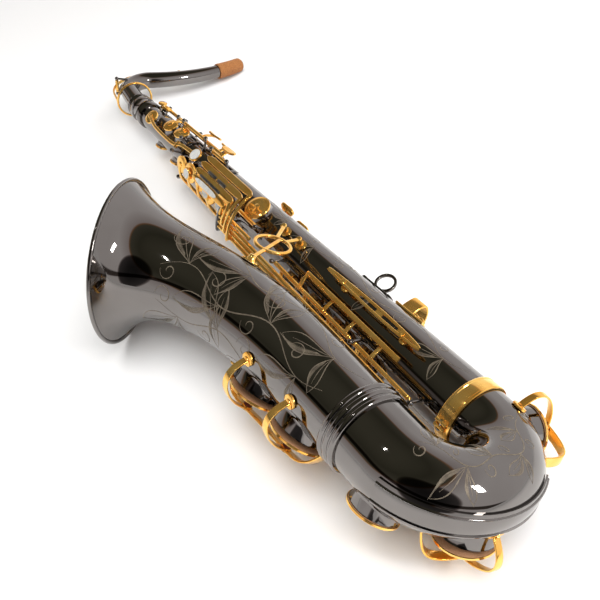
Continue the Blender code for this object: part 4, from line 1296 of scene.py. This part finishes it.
def make_floor():
    corner, normal = floor_below()
    side = normal.cross(Vector((0, 1, 0))).normalized()
    ahead = side.cross(normal)
    corner = corner - normal * FLOOR_CLEARANCE
    signs = ((-1, -1), (1, -1), (1, 1), (-1, 1))
    corners = [corner + side * a * FLOOR_HALF + ahead * b * FLOOR_HALF for a, b in signs]
    data = bpy.data.meshes.new("floor")
    data.from_pydata([tuple(point) for point in corners], [], [(0, 1, 2, 3)])
    floor = bpy.data.objects.new("floor", data)
    if data.polygons[0].normal.dot(normal) < 0:
        data.flip_normals()
    bpy.context.scene.collection.objects.link(floor)
    look, tree, shader = new_look("floor")
    shader.inputs["Base Color"].default_value = (0.86, 0.86, 0.86, 1)
    shader.inputs["Roughness"].default_value = 0.55
    place = tree.nodes.new("ShaderNodeNewGeometry").outputs["Position"]
    distance = tree.nodes.new("ShaderNodeVectorMath")
    distance.operation = "LENGTH"
    tree.links.new(place, distance.inputs[0])
    far = between(tree, distance.outputs["Value"], 0, 1, *FADE)
    glow = node(tree, "ShaderNodeEmission", Color=(1, 1, 1, 1), Strength=STUDIO_WHITE)
    front = either(tree, far, shader.outputs["BSDF"], glow.outputs["Emission"])
    clear = tree.nodes.new("ShaderNodeBsdfTransparent").outputs["BSDF"]
    from_below = tree.nodes.new("ShaderNodeNewGeometry").outputs["Backfacing"]
    tree.links.new(either(tree, from_below, front, clear), tree.nodes["Material Output"].inputs["Surface"])
    data.materials.append(look)


def softbox(name, place, aim, width, length, power, mirrored):
    """A rectangular light that faces its aim."""
    data = bpy.data.lights.new(name, "AREA")
    data.shape = "RECTANGLE"
    data.size, data.size_y = width, length
    data.energy = power
    lamp = bpy.data.objects.new(name, data)
    lamp.location = place
    back = (Vector(place) - Vector(aim)).normalized()
    lamp.rotation_euler = back.to_track_quat("Z", "Y").to_euler()
    lamp.visible_glossy = mirrored
    bpy.context.scene.collection.objects.link(lamp)


def ramp_by_direction(tree, towards, stops):
    """Colours by how nearly a reflection points in a direction: stops are (cosine, colour)."""
    place = tree.nodes.new("ShaderNodeTexCoord").outputs["Generated"]
    facing = tree.nodes.new("ShaderNodeVectorMath")
    facing.operation = "DOT_PRODUCT"
    tree.links.new(place, facing.inputs[0])
    facing.inputs[1].default_value = Vector(towards).normalized()
    ramp = tree.nodes.new("ShaderNodeValToRGB")
    tree.links.new(facing.outputs["Value"], ramp.inputs["Fac"])
    for i, (at, colour) in enumerate(stops):
        stop = ramp.color_ramp.elements[i] if i < 2 else ramp.color_ramp.elements.new(at)
        stop.position = at
        stop.color = (*colour, 1)
    return ramp.outputs["Color"]


# Name, place, aim, width and length in metres, power in watts, and whether the metal mirrors it.
SOFTBOXES = (
    ("key_softbox", (-0.9, -0.5, 1.4), (-0.2, -0.1, 0), 1.6, 1.6, 42, False),
    ("side_softbox", (1.3, 0.4, 1.0), (0, 0, 0), 0.9, 1.4, 14, False),
    ("spark_softbox", (-1.1, 0.2, 1.3), (0, 0, 0), 0.03, 0.16, 1.0, True),
    ("window_softbox", (0.15, -1.2, 0.9), (0, -0.3, 0), 0.16, 0.3, 5, True),
    ("far_softbox", (1.1, 1.3, 0.5), (0, 0.1, 0), 0.05, 0.5, 2, False),
)


def make_surroundings():
    """What the metal mirrors: a white studio with a dark opening above, a dark spot and a dark skirting."""
    world = bpy.data.worlds.new("studio")
    bpy.context.scene.world = world
    world.use_nodes = True
    tree = world.node_tree
    opening = (
        (0.30, (0.95, 0.92, 0.92)),
        (0.575, (0.62, 0.56, 0.55)),
        (0.60, (0.36, 0.19, 0.09)),
        (0.63, (0.12, 0.115, 0.085)),
        (0.80, (0.075, 0.072, 0.05)),
        (0.97, (0.11, 0.105, 0.075)),
    )
    camera_side = (
        (0.84, (1, 1, 1)),
        (0.86, (0.3, 0.27, 0.26)),
        (0.88, (0.09, 0.085, 0.085)),
        (0.99, (0.03, 0.03, 0.03)),
    )
    studio = ramp_by_direction(tree, (-0.55, 0.30, 0.78), opening)
    spot = ramp_by_direction(tree, (-0.70, -0.66, 0.22), camera_side)
    skirting = (
        (0.03, (1, 1, 1)),
        (0.05, (0.12, 0.10, 0.09)),
        (0.15, (0.10, 0.085, 0.075)),
        (0.175, (1, 1, 1)),
    )
    for other in (spot, ramp_by_direction(tree, (0, 0, 1), skirting)):
        both = tree.nodes.new("ShaderNodeMix")
        both.data_type = "RGBA"
        both.blend_type = "MULTIPLY"
        both.inputs["Factor"].default_value = 1.0
        tree.links.new(studio, both.inputs["A"])
        tree.links.new(other, both.inputs["B"])
        studio = both.outputs["Result"]
    seen = node(tree, "ShaderNodeBackground", Color=(1, 1, 1, 1), Strength=STUDIO_WHITE)
    mirrored = node(tree, "ShaderNodeBackground", Color=studio, Strength=1.0)
    by_camera = tree.nodes.new("ShaderNodeLightPath").outputs["Is Camera Ray"]
    whole = either(tree, by_camera, mirrored.outputs["Background"], seen.outputs["Background"])
    tree.links.new(whole, tree.nodes["World Output"].inputs["Surface"])
    for box in SOFTBOXES:
        softbox(*box)


def make_camera():
    """The camera looks down at the bell's side of the instrument, turned a little about its own axis."""
    azimuth, elevation, roll = math.radians(-42.45), math.radians(32.33), math.radians(14.44)
    target = TUBE_START + Vector((-0.0468, 0.1821, 0))
    distance = 0.7683
    level = math.cos(elevation)
    back = Vector((math.sin(azimuth) * level, -math.cos(azimuth) * level, math.sin(elevation)))
    right = (-back).cross(UP).normalized()
    above = right.cross(-back)
    across = right * math.cos(roll) + above * math.sin(roll)
    upward = above * math.cos(roll) - right * math.sin(roll)
    data = bpy.data.cameras.new("camera")
    data.lens = 50.24
    data.sensor_width = 36.0
    data.clip_start = 0.01
    camera = bpy.data.objects.new("camera", data)
    facing = Matrix((across, upward, back)).transposed().to_4x4()
    camera.matrix_world = Matrix.Translation(target + back * distance) @ facing
    bpy.context.scene.collection.objects.link(camera)
    bpy.context.scene.camera = camera
    bpy.context.scene.view_settings.view_transform = "Standard"


def main():
    make_pipes()
    make_bow_guard()
    make_ferrules()
    make_receiver()
    make_neck()
    make_lower_stack()
    make_upper_stack()
    make_side_keys()
    make_palm_keys()
    make_octave_keys()
    key("gs_key", "gs", (157, 9), (294, 330), 0.0)
    make_table()
    make_low_keys()
    guard("low_eb_guard", ["low_eb"], 23.0, 62, 31, arm_side=True)
    guard("low_c_guard", ["low_c"], 26.0, 52, 36, arm_side=True)
    guard("bell_key_guard", ["low_b", "low_bb"], 24.0, -62, 35)
    make_brace()
    make_side_guard()
    make_fittings()
    make_engraving()
    make_floor()
    make_surroundings()
    make_camera()


main()
bpy.context.view_layer.update()
